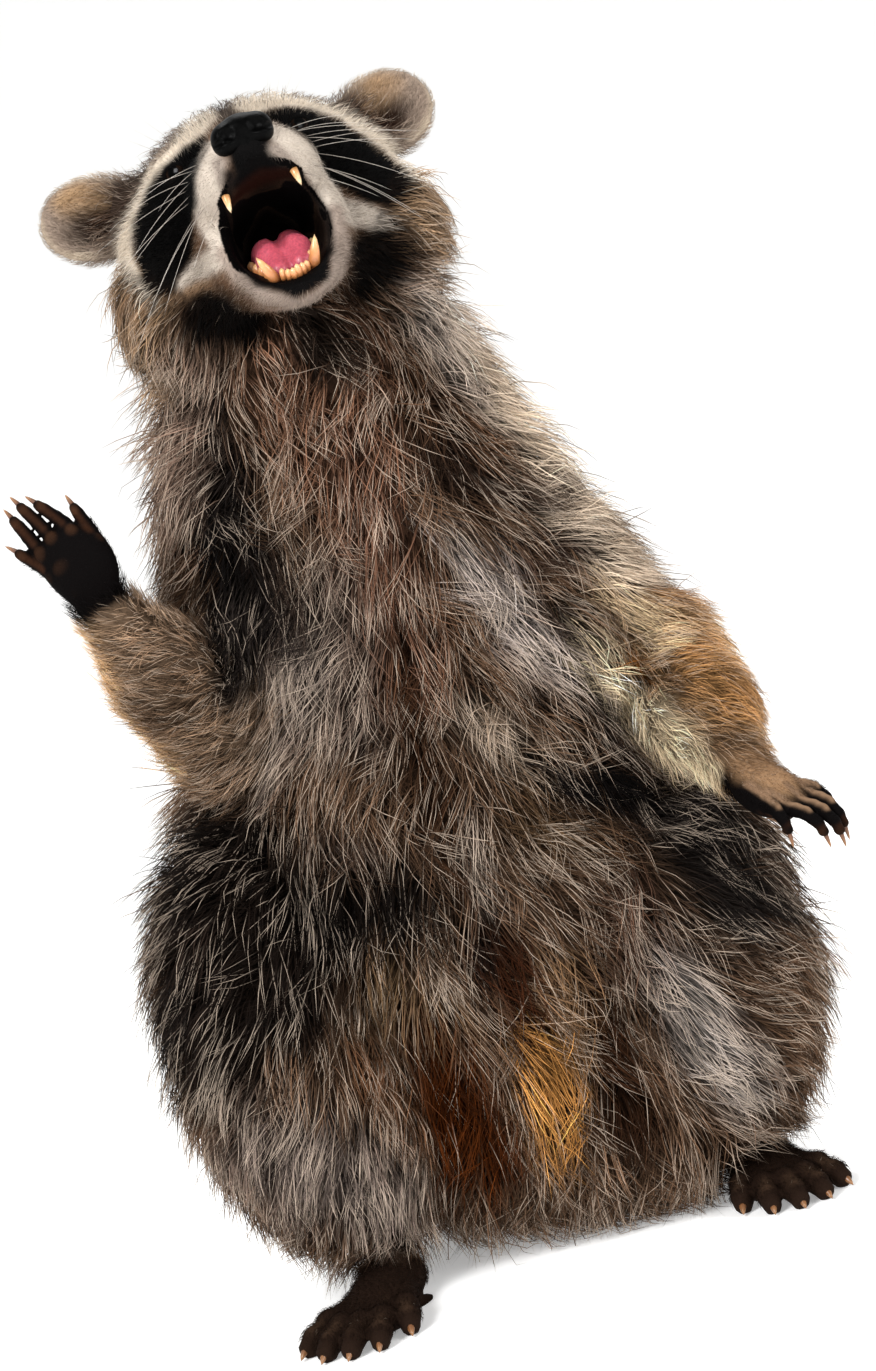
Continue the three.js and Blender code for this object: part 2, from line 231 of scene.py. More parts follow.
# ---- The animal's frames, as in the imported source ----

MID = -14  # the trunk's middle plane
HEAD_PLACE = (46, -23.5, 501)  # midway between the eyes
HEAD_PITCH, HEAD_TILT, HEAD_YAW = (math.radians(angle) for angle in (18, 8, 3))
FACE_TURN = 20.4  # degrees down from the head's forward direction to the viewer
GAPE = 30.5  # degrees between palate and lower jaw
JAW_HINGE = (-34, 0, -34)

BODY = Frame.facing((0, 0, 0), (0, -1, 0), (0, 0, 1))


def head_frame(yaw: float) -> Frame:
    """The head's frame, between the eyes.

    Args:
        yaw: How far it is turned to the left, in radians.

    Returns:
        The frame.
    """
    level, rise = math.cos(HEAD_PITCH), math.sin(HEAD_PITCH)
    upright = math.cos(HEAD_TILT)
    ahead = (math.sin(yaw) * level, -math.cos(yaw) * level, rise)
    up = (-math.sin(HEAD_TILT), rise * upright, level * upright)
    return Frame.facing(BODY.at(HEAD_PLACE), ahead, up)


HEAD = head_frame(HEAD_YAW)
# looks at the viewer: the face's marks are laid out across it
FACE = head_frame(0).turned((0, 0, 0), FACE_TURN)
JAW = HEAD.turned(JAW_HINGE, GAPE)
MOUTH = HEAD.turned(JAW_HINGE, GAPE / 2)

CAD_EYES = HEAD.at((-3, 0, -1))  # midway between the eye solids
EYE_BOXES = np.array([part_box("eye_left"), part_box("eye_right")])
SHIFT = EYE_BOXES.mean((0, 1)) / MM - CAD_EYES  # from the body's origin to the frame's


# ---- The coat ----


class Region(Enum):
    """The pieces that the coat is made in."""

    HEAD = "coat_head"
    FACE = "coat_face"
    NECK = "coat_neck"
    CHEST = "coat_chest"
    BELLY = "coat_belly"
    BACK = "coat_back"
    RUMP = "coat_rump"
    THIGH_RIGHT = "coat_thigh_right"
    THIGH_LEFT = "coat_thigh_left"
    ARM_RIGHT = "coat_arm_right"
    ARM_LEFT = "coat_arm_left"
    PAWS = "coat_paws"
    TAIL = "coat_tail"


@dataclass(frozen=True)
class Pelt:
    """How closely a region's hairs stand, how thick each is at its root, and how many stretches it has."""

    spacing: float
    width: float
    stretches: int


LONG_PELT = Pelt(2.15, 0.52, 3)
PELTS = {
    Region.HEAD: Pelt(1.75, 0.46, 3),
    Region.FACE: Pelt(1.1, 0.34, 2),
    Region.BACK: Pelt(2.5, 0.7, 3),
    Region.RUMP: Pelt(2.5, 0.7, 3),
    Region.ARM_RIGHT: Pelt(1.55, 0.44, 3),
    Region.ARM_LEFT: Pelt(1.55, 0.44, 3),
    Region.PAWS: Pelt(1.1, 0.36, 2),
}


@dataclass(frozen=True)
class Coat:
    """The coat on a part of the flesh.

    Attributes:
        region: The coat piece that it belongs to.
        depth: How far its tips stand from the skin.
        length: How long its hairs are.
        lie: The direction that they lie in, in the part's own frame.
        mess: How far, in degrees, they stray from it.
    """

    region: Region
    depth: float
    length: float
    lie: Place
    mess: float = 14


@dataclass(frozen=True)
class Flesh:
    """A shape of skin and flesh that flows into the others, with the coat on it."""

    shape: Shape
    soft: float
    coat: Coat
    lie: Array = field(default_factory=lambda: np.zeros(3))


def lump(frame_: Frame, place: Place, outline: Place, soft: float, coat: Coat) -> Flesh:
    """An ellipsoid of flesh whose coat reaches out to the half-axes in outline."""
    radii = tuple(half - coat.depth for half in outline)
    return Flesh(Lump(frame_, place, radii), soft, coat, frame_.direction(coat.lie))


def limb(
    places: Sequence[Place], outline: Sequence[float], soft: float, coat: Coat, ahead: float
) -> list[Flesh]:
    """A limb of flesh through places of the body.

    Args:
        places: Its joints.
        outline: The coat's outer radius at each.
        soft: How softly it joins.
        coat: Its coat.
        ahead: How much its hairs lie along it.

    Returns:
        Its lengths of flesh.
    """
    points = [BODY.at(place) for place in places]
    radii = [radius - coat.depth for radius in outline]
    return [
        Flesh(bone, soft, coat, unit(bone.end - bone.start) * ahead + BODY.direction(coat.lie))
        for bone in bones(points, radii)
    ]


# ---- Clay: flesh and hollows as one surface ----


class Clay:
    """Shapes that flow into each other, cut by hollows, with a surface where the distance is zero."""

    def __init__(self, flesh: Iterable[Worked], cuts: Iterable[Worked] = ()) -> None:
        """Takes the shapes that are joined and those that are cut away."""
        self.steps = [(shape, soft, 1) for shape, soft in flesh]
        self.steps += [(shape, soft, -1) for shape, soft in cuts]

    @staticmethod
    def _added(before: Array, shape: Shape, soft: float, sign: int, points: Array) -> Array:
        """Joins a shape or cuts it away.

        Args:
            before: The distances so far.
            shape: The shape.
            soft: How softly it joins or cuts.
            sign: 1 to join, -1 to cut.
            points: Where the distances are.

        Returns:
            The new distances.
        """
        a, b = sign * before, shape.distance(points)
        near = np.maximum(soft - np.abs(a - b), 0) / soft
        return sign * (np.minimum(a, b) - near * near * soft / 4)

    def distance(self, points: Array) -> Array:
        """The signed distance to the surface.

        Args:
            points: (n, 3) places.

        Returns:
            The distance at each.
        """
        result = np.full(len(points), FAR, points.dtype)
        for shape, soft, sign in self.steps:
            margin = shape.reach + soft + 12
            near = np.flatnonzero(np.abs(points - shape.centre).max(-1) < margin)
            if len(near):
                result[near] = self._added(result[near], shape, soft, sign, points[near])
        return result

    def slope(self, points: Array, step: float = 0.3) -> tuple[Array, Array]:
        """The distance and the way out.

        Args:
            points: (n, 3) places.
            step: How far apart distances are compared.

        Returns:
            The distance and the outward unit direction at each.
        """
        here = self.distance(points)
        ahead = [self.distance(points + step * axis) - here for axis in np.eye(3)]
        return here, unit(np.stack(ahead, -1))

    def settled(self, points: Array, level: Array | float = 0.0, rounds: int = 2) -> Array:
        """Moves points to a level of the distance.

        Args:
            points: (n, 3) places.
            level: The distance wanted.
            rounds: How often they move.

        Returns:
            The moved points.
        """
        for _ in range(rounds):
            here, out = self.slope(points)
            points = points + np.clip(level - here, -6, 6)[:, None] * out
        return points

    def mesh(self, low: Sequence[float], high: Sequence[float], voxel: float) -> tuple[Array, Array]:
        """The surface inside a box.

        Args:
            low: The box's lowest corner.
            high: Its highest corner.
            voxel: The grid's step.

        Returns:
            Its points and four-sided faces.
        """
        counts = np.ceil(np.subtract(high, low) / voxel).astype(int)
        low = np.asarray(low, np.float32)
        lines = [low[k] + voxel * np.arange(counts[k], dtype=np.float32) for k in range(3)]
        grid = np.full(counts, FAR, np.float32)
        for shape, soft, sign in self.steps:
            margin = (shape.reach + soft + 2 * voxel) * np.array([-1, 1])
            ends = [np.searchsorted(line, middle + margin) for line, middle in zip(lines, shape.centre)]
            part = tuple(slice(*np.clip(end, 0, count)) for end, count in zip(ends, counts))
            points = np.stack(np.meshgrid(*[line[s] for line, s in zip(lines, part)], indexing="ij"), -1)
            if points.size:
                grid[part] = self._added(grid[part], shape, soft, sign, points)
        volume = openvdb.FloatGrid(FAR)
        volume.copyFromArray(grid)
        points, _, quads = volume.convertToPolygons(isovalue=0.0, adaptivity=0.0)
        return points.astype(float) * voxel + low, quads.astype(np.int32)[:, ::-1]


# ---- Hands and feet ----


@dataclass(frozen=True)
class Digit:
    """A finger or toe: its root's place in the paw, its length, and the degrees that it turns outwards."""

    ahead: float
    inward: float
    length: float
    turn: float


@dataclass(frozen=True)
class PawSize:
    """What hands, or feet, have in common. Taper is a digit's radii from its root, as shares of radius."""

    radius: float
    claw: float
    taper: tuple[float, ...]
    digits: tuple[Digit, ...]


HAND = PawSize(
    2.6,
    6,
    (1.15, 1.1, 1.05, 0.9, 0.88, 0.62),
    (
        Digit(29, 13, 13, 0),
        Digit(38, 5.5, 14, 20),
        Digit(40, -3, 14.5, 11),
        Digit(37, -10, 14, 6),
        Digit(26, -12, 13, 25),
    ),
)
FOOT = PawSize(
    5.2,
    6,
    (0.95, 0.92, 1.02, 0.8, 0.95, 0.78),
    (
        Digit(54, 15, 22, -16),
        Digit(64, 8, 27, -7),
        Digit(66, 0, 30, 1),
        Digit(64, -8, 29, 9),
        Digit(56, -15, 26, 20),
    ),
)


@dataclass(frozen=True)
class Paw:
    """A hand or foot. Its frame starts at the wrist or heel, and the frame's up is the back of the paw."""

    name: str
    frame: Frame
    size: PawSize
    hand: int
    curl: float
    drop: float

    def along(self, digit: Digit, share: float, lift: float) -> Array:
        """A place along a digit.

        Args:
            digit: The digit.
            share: 0 at its root, 1 at its tip.
            lift: How far above the paw's plane.

        Returns:
            The place.
        """
        outward = math.radians(digit.turn)
        forward = digit.ahead + math.cos(outward) * share * digit.length
        side = math.sin(outward) * share * digit.length - digit.inward
        return self.frame.at((forward, self.hand * side, lift))

    def digit_bones(self, digit: Digit) -> list[Bone]:
        """A digit from inside the palm to its tip, thicker at its knuckles.

        Args:
            digit: The digit.

        Returns:
            Its lengths.
        """
        r, back = self.size.radius, 0.9 if self.size is FOOT else 0.4
        shares = (-back, 0.0, 0.3, 0.55, 0.75, 1.0)
        bent = (0.5 * r - 0.2 * self.curl, 0.35 * r - 0.4 * self.curl, -self.curl)
        lifts = (back * r, 0.75 * r, 0.8 * r, *bent)
        radii = [r * share for share in self.size.taper]
        return bones([self.along(digit, s, lift) for s, lift in zip(shares, lifts)], radii)

    def reach_of(self) -> float:
        """How far the paw reaches from the wrist or heel."""
        return max(digit.ahead + digit.length for digit in self.size.digits) + 2 * self.size.radius

    def flesh_distance(self, points: Array) -> Array:
        """The distance to the palm or sole and its digits.

        Args:
            points: (n, 3) places.

        Returns:
            The distance at each.
        """
        wide = 15 if self.size is HAND else 20
        palm = Lump(self.frame, (self.reach_of() * 0.35, 0, 0), (self.reach_of() * 0.4, wide, wide * 0.6))
        shapes = [palm, *(bone for digit in self.size.digits for bone in self.digit_bones(digit))]
        return np.min([shape.distance(points) for shape in shapes], axis=0)

    def pads(self) -> list[Lump]:
        """The bare pads under the digits' tips, their roots and the palm.

        Returns:
            The pads.
        """
        r, hand = self.size.radius, self.hand
        found = []
        for digit in self.size.digits:
            for share, half, low in ((0.93, 0.85, 0.3), (-0.3, 1.15, 0.7)):
                centre = self.frame.local(self.along(digit, share, -self.curl * max(share, 0) - low * r))
                found.append(Lump(self.frame, tuple(centre), (half * r, half * r * 0.85, 0.75 * r)))
        deep = -1.5 * r
        heel = 0.3 * self.size.digits[2].ahead
        found.append(Lump(self.frame, (heel, hand * 1.7 * r, deep), (2.3 * r, 1.3 * r, r)))
        found.append(Lump(self.frame, (heel * 1.3, hand * -2.2 * r, deep), (2.4 * r, 1.4 * r, r)))
        found.append(Lump(self.frame, (heel * 1.9, hand * 1.1 * r, deep), (1.6 * r, 2.2 * r, 0.9 * r)))
        return found

    def claws(self, rings: int = 7) -> tuple[Array, Array]:
        """The claws, from inside the digits to their points.

        Args:
            rings: How many radii each has.

        Returns:
            Their middle lines and radii.
        """
        share = np.linspace(0, 1, rings + 1)
        down = self.frame.direction((0, 0, -1))
        paths = []
        for digit in self.size.digits:
            root = self.along(digit, 0.86, self.size.radius * 0.45 - self.curl)
            axis = unit(self.along(digit, 2, 0) - self.along(digit, 1, 0))
            axis = unit(axis + self.drop * down)
            length = self.size.radius + self.size.claw
            bend = self.size.claw * 0.34
            paths.append(root + np.outer(share * length, axis) + np.outer(bend * share**2, down))
        radii = 0.46 * self.size.radius * (1 - share[:-1] ** 1.7) ** 0.8 + 0.12
        return np.array(paths), np.tile(radii, (len(paths), 1))


# ---- The flesh ----

LIMBS = {
    "right": dict(
        shoulder=(-16, -70, 338),
        elbow=(10, -98, 258),
        wrist=(66, -129, 330),
        fingers=(-0.3, -0.15, 0.94),
        back=(0, 1, 0.1),
        curl=0,
        drop=0.1,
        knee=(40, -106, 90),
        ankle=(36, -88, 32),
        heel=(30, -82),
        toes=(-0.27, -1, 0),
    ),
    "left": dict(
        shoulder=(-14, 32, 334),
        elbow=(2, 101, 237),
        wrist=(72, 116, 191),
        fingers=(0.5, -0.66, -0.5),
        back=(0.3, -0.4, 0.86),
        curl=3,
        drop=1,
        knee=(30, 84, 86),
        ankle=(-14, 82, 32),
        heel=(-22, 82),
        toes=(0.12, -1, 0),
    ),
}
TAIL_PATH = (
    (-100, 8, 42),
    (-148, 14, 34),
    (-200, 2, 29),
    (-240, -36, 28),
    (-256, -84, 23),
    (-250, -126, 13),
)
TAIL_RADII = (26, 28, 30, 29, 24, 13)
EYE = 7.5  # an eyeball's radius
EYE_PLACE = (-4.5, 25.5, 1.0)  # the left one's
GAZE = (0.86, 0.46, 0.0)
EAR_LENGTH, EAR_RADIUS, EAR_WALL, EAR_MIDDLE = 40, 20.5, 8, 3
EAR_LIFT = {"right": 9, "left": 5}


def mirrored(place: Sequence[float], hand: int) -> tuple[float, ...]:
    """A place of the left side, or its mirror image on the right."""
    forward, left, up = place
    return (forward, hand * left, up)


def ear_frame(side: str, hand: int) -> Frame:
    """An ear's frame: forward runs from its root to its tip, and up is its back.

    Args:
        side: The side's name.
        hand: -1 on the right, 1 on the left.

    Returns:
        The frame.
    """
    lift = EAR_LIFT[side]
    base = HEAD.at((-54, EAR_MIDDLE + hand * 58, lift))
    tip = HEAD.at((-68, EAR_MIDDLE + hand * 90, lift + 23))
    return Frame.facing(base, tip - base, -HEAD.axes[0])


def eye_frame(hand: int) -> Frame:
    """An eye's frame: its centre, looking along the gaze."""
    gaze = HEAD.direction(mirrored(GAZE, hand))
    return Frame.facing(HEAD.at(mirrored(EYE_PLACE, hand)), gaze, HEAD.axes[2])


def paws() -> list[Paw]:
    """The hands and feet.

    Returns:
        Both sides' hand and foot, the right ones first.
    """
    found = []
    for side, hand in SIDES:
        row = LIMBS[side]
        wrist = Frame.facing(BODY.at(row["wrist"]), row["fingers"], row["back"])
        heel = Frame.facing(BODY.at((*row["heel"], FOOT.radius - 0.8)), row["toes"], (0, 0, 1))
        found.append(Paw(f"hand_{side}", wrist, HAND, hand, row["curl"], row["drop"]))
        found.append(Paw(f"foot_{side}", heel, FOOT, hand, 0, 0.35))
    return found


def trunk_flesh() -> list[Flesh]:
    """Rump, belly, chest, shoulders and neck.

    Returns:
        The parts.
    """
    down = (0, 0, -1)
    trunk = (
        ((-46, MID + 8, 78), (92, 108, 84), (-0.25, 0, -1)),
        ((14, MID + 12, 66), (56, 86, 66), down),
        ((14, 50, 58), (50, 54, 58), down),
        ((-6, MID + 4, 172), (98, 105, 124), down),
        ((-18, MID, 285), (80, 82, 104), down),
        ((-6, 67, 266), (44, 26, 62), down),
        ((-34, -90, 212), (50, 50, 44), down),
        ((-12, 31, 332), (54, 42, 52), down),
        ((-8, -72, 340), (44, 32, 40), down),
        ((-22, MID - 2, 352), (64, 76, 60), down),
    )
    neck = (((-22, MID - 3, 368), (66, 82, 60)), ((-14, MID - 4, 412), (64, 74, 60)))
    parts = [lump(BODY, place, half, 34, Coat(Region.BELLY, 18, 40, lie, 30)) for place, half, lie in trunk]
    ruff = Coat(Region.NECK, 18, 34, (0.1, 0, -1), 32)
    return parts + [lump(BODY, place, half, 30, ruff) for place, half in neck]


def limb_flesh() -> list[Flesh]:
    """Thighs, lower legs and arms.

    Returns:
        The parts.
    """
    parts: list[Flesh] = []
    thighs = {
        "right": (((6, -102, 140), (84, 65, 88)), ((34, -102, 110), (62, 54, 68))),
        "left": (((0, 78, 130), (82, 60, 80)), ((24, 76, 102), (60, 52, 66))),
    }
    for side, hand in SIDES:
        row = LIMBS[side]
        thigh = Region.THIGH_RIGHT if hand < 0 else Region.THIGH_LEFT
        arm = Region.ARM_RIGHT if hand < 0 else Region.ARM_LEFT
        coat = Coat(thigh, 18, 38, (0.1, hand * 0.5, -1), 18)
        parts += [lump(BODY, place, radii, 13, coat) for place, radii in thighs[side]]
        calf = Coat(thigh, 13, 26, (0, hand * 0.3, -0.8), 14)
        halfway = tuple(np.mean([row["knee"], row["ankle"]], 0))
        parts += limb((row["knee"], halfway, row["ankle"]), (48, 42, 25), 20, calf, 0.4)
        upper = Coat(arm, 12, 30, (0, hand * 0.35, -0.5), 16)
        halfway = tuple(np.mean([row["shoulder"], row["elbow"]], 0))
        parts += limb((row["shoulder"], halfway, row["elbow"]), (33, 31, 29), 18, upper, 0.8)
        fore = Coat(arm, 7, 19, (0, hand * 0.7, -0.35), 12)
        elbow, wrist = np.array(row["elbow"]), np.array(row["wrist"])
        stations = [tuple(elbow + (wrist - elbow) * share) for share in (0, 0.5, 0.9, 1)]
        parts += limb(stations, (28, 26, 15.5, 13.5), 12, fore, 0.7)
    return parts


def tail_flesh() -> list[Flesh]:
    """The tail, bent round behind the animal on the floor.

    Returns:
        The parts.
    """
    coat = Coat(Region.TAIL, 12, 34, (0, 0, 0), 9)
    places = [(-70, 2, 60), *TAIL_PATH]
    return limb(places, (26, *TAIL_RADII), 12, coat, 1)


def head_flesh() -> list[Flesh]:
    """Skull, cheeks, muzzle, mouth corners, lower jaw and ears.

    Returns:
        The parts.
    """

    def face(depth: float, length: float, lie: Place, mess: float = 10) -> Coat:
        """The face's short coat."""
        return Coat(Region.FACE, depth, length, lie, mess)

    back = Coat(Region.HEAD, 6, 14, (-1, 0, 0.1), 14)
    parts = [
        lump(HEAD, (-48, 3, 1), (49, 57.5, 38.5), 14, back),
        lump(HEAD, (-20, 0, 0), (28, 38, 24), 14, face(3, 8, (-1, 0, 0.2))),
        lump(HEAD, (-52, 0, -26), (44, 62, 40), 14, Coat(Region.HEAD, 8, 20, (-1, 0, -0.4), 14)),
        lump(HEAD, (-4, 0, -10), (34, 18, 18), 12, face(2, 5, (-1, 0, 0.2))),
        lump(HEAD, (8, 0, -12), (40, 20, 15), 8, face(1.5, 3.6, (-1, 0, 0.1))),
        lump(HEAD, (34, 0, -17), (20, 17, 12), 8, face(1.2, 2.6, (-1, 0, 0))),
        lump(JAW, (62, 0, -5), (17, 17, 11), 8, face(2, 5, (-1, 0, -0.6))),
        lump(JAW, (28, 0, -8), (26, 24, 15), 12, face(4, 9, (-1, 0, -0.4))),
    ]
    for side, hand in SIDES:
        ruff = Coat(Region.HEAD, 10, 26, (-0.5, hand * 1.1, -0.6), 16)
        cheek = face(3, 7, (-1, hand * 0.7, -0.3))
        parts += [
            lump(HEAD, (-38, hand * 36, -22), (20, 24, 27), 12, cheek),
            lump(MOUTH, (10, hand * 25, 0), (26, 12, 27), 9, cheek),
            lump(HEAD, (-42, 0.5 + hand * 48.5, -40), (34, 32, 37), 20, ruff),
            lump(HEAD, (22, hand * 14, -21), (26, 14, 12), 8, face(1.2, 3.2, (-1, hand * 0.7, -0.2))),
            lump(HEAD, (2, hand * 19, -16), (24, 11, 14), 9, face(1.5, 5, (-1, hand * 0.6, -0.2))),
            lump(MOUTH, (36, hand * 24, -1), (21, 9, 21), 7, face(1.5, 6, (-1, hand * 0.6, -0.4))),
            lump(JAW, (42, hand * 14, -2), (28, 10, 12), 8, face(2.5, 6, (-1, hand * 0.5, -0.5))),
            # the ridge of the brow over the eye
            lump(HEAD, (-9, hand * 25, 8), (12, 13, 7), 8, face(2, 6, (-1, hand * 0.4, 0.4))),
        ]
        ear = ear_frame(side, hand)
        coat = face(1.2, 5, (1, 0, 0), 16)
        shell = (0.42 * EAR_LENGTH, 0, 0)
        parts.append(lump(ear, shell, (0.6 * EAR_LENGTH, EAR_RADIUS, EAR_WALL - 1), 8, coat))
        root = Bone(HEAD.at((-50, EAR_MIDDLE + hand * 34, 2)), ear.at((8, 0, 0)), (17, 13))
        parts.append(Flesh(root, 12, Coat(Region.HEAD, 7, 17, (0, 0, 0), 20), ear.direction((1, 0, 0.3))))
    return parts


def paw_flesh() -> list[Flesh]:
    """Palms, soles, digits and their pads.

    Returns:
        The parts.
    """
    parts: list[Flesh] = []
    for paw in paws():
        is_hand = paw.size is HAND
        coat = Coat(Region.PAWS, 0.7 if is_hand else 1.0, 3.6 if is_hand else 5.5, (1, 0, -0.1), 8)
        heel = (
            [((11, 0, 0), (17, 11, 8)), ((23, 0, 0), (16, 14.5, 6)), ((19, paw.hand * -9, 0), (12, 7, 5.5))]
            if is_hand
            else [((12, 0, 5), (20, 14, 13)), ((36, 0, 4), (30, 16, 12)), ((56, 0, 0), (19, 20, 7.5))]
        )
        parts += [lump(paw.frame, place, radii, 8, coat) for place, radii in heel]
        lie = paw.frame.direction(coat.lie)
        for digit in paw.size.digits:
            parts += [Flesh(bone, 1.4 if is_hand else 2.4, coat, lie) for bone in paw.digit_bones(digit)]
        parts += [Flesh(pad, 1.6, coat, lie) for pad in paw.pads()]
    return parts


def mouth_hollow() -> list[Bone]:
    """The hollow of the open mouth, from the throat out past the lips."""
    places = [MOUTH.at(place) for place in ((14, 0, -1), (42, 0, 0), (66, 0, 2), (110, 0, 3))]
    return bones(places, (10, 17, 20.5, 25))


MOUTH_LINING = "#040303"  # black skin, wet and in shadow


def in_mouth(points: Array, out: Array) -> Array:
    """Where the mouth's inside is.

    Args:
        points: (n, 3) places.
        out: The outward directions there.

    Returns:
        True near the mouth's hollow, where the surface faces its middle line.
    """
    throat, lips = MOUTH.at((10, 0, -1)), MOUTH.at((110, 0, 3))
    along = unit(lips - throat)
    offset = points - throat
    inward = unit(np.clip(offset @ along, 0, 100)[:, None] * along - offset)
    near = np.min([bone.distance(points) for bone in mouth_hollow()], axis=0)
    return (near < 2.0) | ((near < 7) & ((inward * out).sum(-1) > 0.35))


def hollows() -> list[Worked]:
    """What is cut from the flesh: mouth, ears, and the openings between the lids.

    Returns:
        Each shape, with how softly it is cut.
    """
    found: list[Worked] = [(bone, 5) for bone in mouth_hollow()]
    for side, hand in SIDES:
        ear = ear_frame(side, hand)
        cup = ((0.44 * EAR_LENGTH, 0, -EAR_WALL - 1), (0.46 * EAR_LENGTH, 0.76 * EAR_RADIUS, EAR_WALL + 3))
        found.append((Lump(ear, *cup), 3))
        eye = eye_frame(hand)
        found.append((Lump(eye, (EYE + 1, 0, -0.4), (4.4, 5.2, 2.5)), 1.2))
    return found


@dataclass(frozen=True)
class Stroke:
    """A stroke laid out across a frame, on all that is in front of a plane.

    Attributes:
        points: The (left, up, half-width) places that it runs through.
        frame: What it is laid out across.
        back: How far ahead of the frame's place the plane is.
        reach: How far it can reach.
    """

    points: tuple[Place, ...]
    frame: Frame = FACE
    back: float = -54.0
    reach: float = 120.0

    @property
    def centre(self) -> Array:
        """The frame's own place."""
        return self.frame.origin

    def distance(self, points: Array) -> Array:
        """The distance to the stroke's edge, seen along the frame's forward direction.

        Args:
            points: (n, 3) places.

        Returns:
            The distance at each.
        """
        local = self.frame.local(points)
        ahead, flat = local[:, 0], local[:, 1:]
        strokes = self.points if len(self.points) > 1 else self.points * 2
        best = np.full(len(points), FAR)
        for (a, b, r), (c, d, s) in zip(strokes, strokes[1:]):
            along = np.array([c - a, d - b], float)
            share = np.clip((flat - (a, b)) @ along / max(along @ along, 1e-6), 0, 1)
            gap = np.linalg.norm(flat - (a, b) - share[:, None] * along, axis=-1)
            best = np.minimum(best, gap - (r + (s - r) * share))
        return np.maximum(best, self.back - ahead)


# where the coat of the head is short and smooth
FACE_ZONE = Stroke(
    (
        (-38, -44, 8),
        (-50, -24, 15),
        (-34, -6, 14),
        (0, -10, 24),
        (36, -6, 14),
        (52, -24, 15),
        (38, -45, 9),
    )
)


class Hide:
    """The whole animal's flesh: the skin's surface, and the coat's depth, length and lie at any point."""

    BLEND = 4.5  # how softly one part's coat passes into the next one's
    FACE_DEPTH, FACE_HAIR = 2.6, 6.5  # the most depth and length of the coat in the face zone
    CHEST_LEVEL = 215  # chest and back are above this, belly and rump below
    BACK_PLANE = 14  # back and rump are behind this

    def __init__(self) -> None:
        """Gathers the flesh and the hollows."""
        self.flesh = [*trunk_flesh(), *limb_flesh(), *tail_flesh(), *head_flesh(), *paw_flesh()]
        lids = [(Lump(eye_frame(hand), (0, 0, 0), (EYE + 1.3,) * 3), 3) for _, hand in SIDES]
        shapes = [(part.shape, part.soft) for part in self.flesh]
        self.clay = Clay(shapes + lids, hollows())
        self.throat = Clay([(bone, 5.0) for bone in mouth_hollow()])
        self.regions = list(Region)

    def coat(self, points: Array) -> tuple[Array, Array, Array, Array, Array]:
        """The coat at any place.

        Args:
            points: (n, 3) places.

        Returns:
            Its depth, length, lie and mess, and the number of its region, at each.
        """
        gaps = np.stack([np.minimum(part.shape.distance(points), 99) for part in self.flesh], -1)
        weights = np.exp(-(gaps - gaps.min(-1, keepdims=True)) / self.BLEND)
        weights /= weights.sum(-1, keepdims=True)
        coats = [part.coat for part in self.flesh]
        depth = weights @ np.array([coat.depth for coat in coats])
        length = weights @ np.array([coat.length for coat in coats])
        short = smooth(0.5 - FACE_ZONE.distance(points) / 12)
        depth += (np.minimum(depth, self.FACE_DEPTH) - depth) * short
        length += (np.minimum(length, self.FACE_HAIR) - length) * short
        mess = weights @ np.array([coat.mess for coat in coats])
        lie = weights @ np.array([part.lie for part in self.flesh])
        order = {region: i for i, region in enumerate(self.regions)}
        region = np.array([order[coat.region] for coat in coats])[gaps.argmin(-1)]
        return depth, length, lie, mess, self._trunk_regions(region, order, points)

    @classmethod
    def _trunk_regions(cls, region: Array, order: dict[Region, int], points: Array) -> Array:
        """Divides the trunk into chest, belly, back and rump.

        Args:
            region: The regions' numbers.
            order: Each region's number.
            points: Where they are.

        Returns:
            The new numbers.
        """
        trunk = region == order[Region.BELLY]
        is_high = points[:, 2] > cls.CHEST_LEVEL
        is_back = points[:, 1] > cls.BACK_PLANE
        for high, back, name in (
            (True, False, Region.CHEST),
            (True, True, Region.BACK),
            (False, True, Region.RUMP),
        ):
            region[trunk & (is_high == high) & (is_back == back)] = order[name]
        return region


# ---- Teeth ----


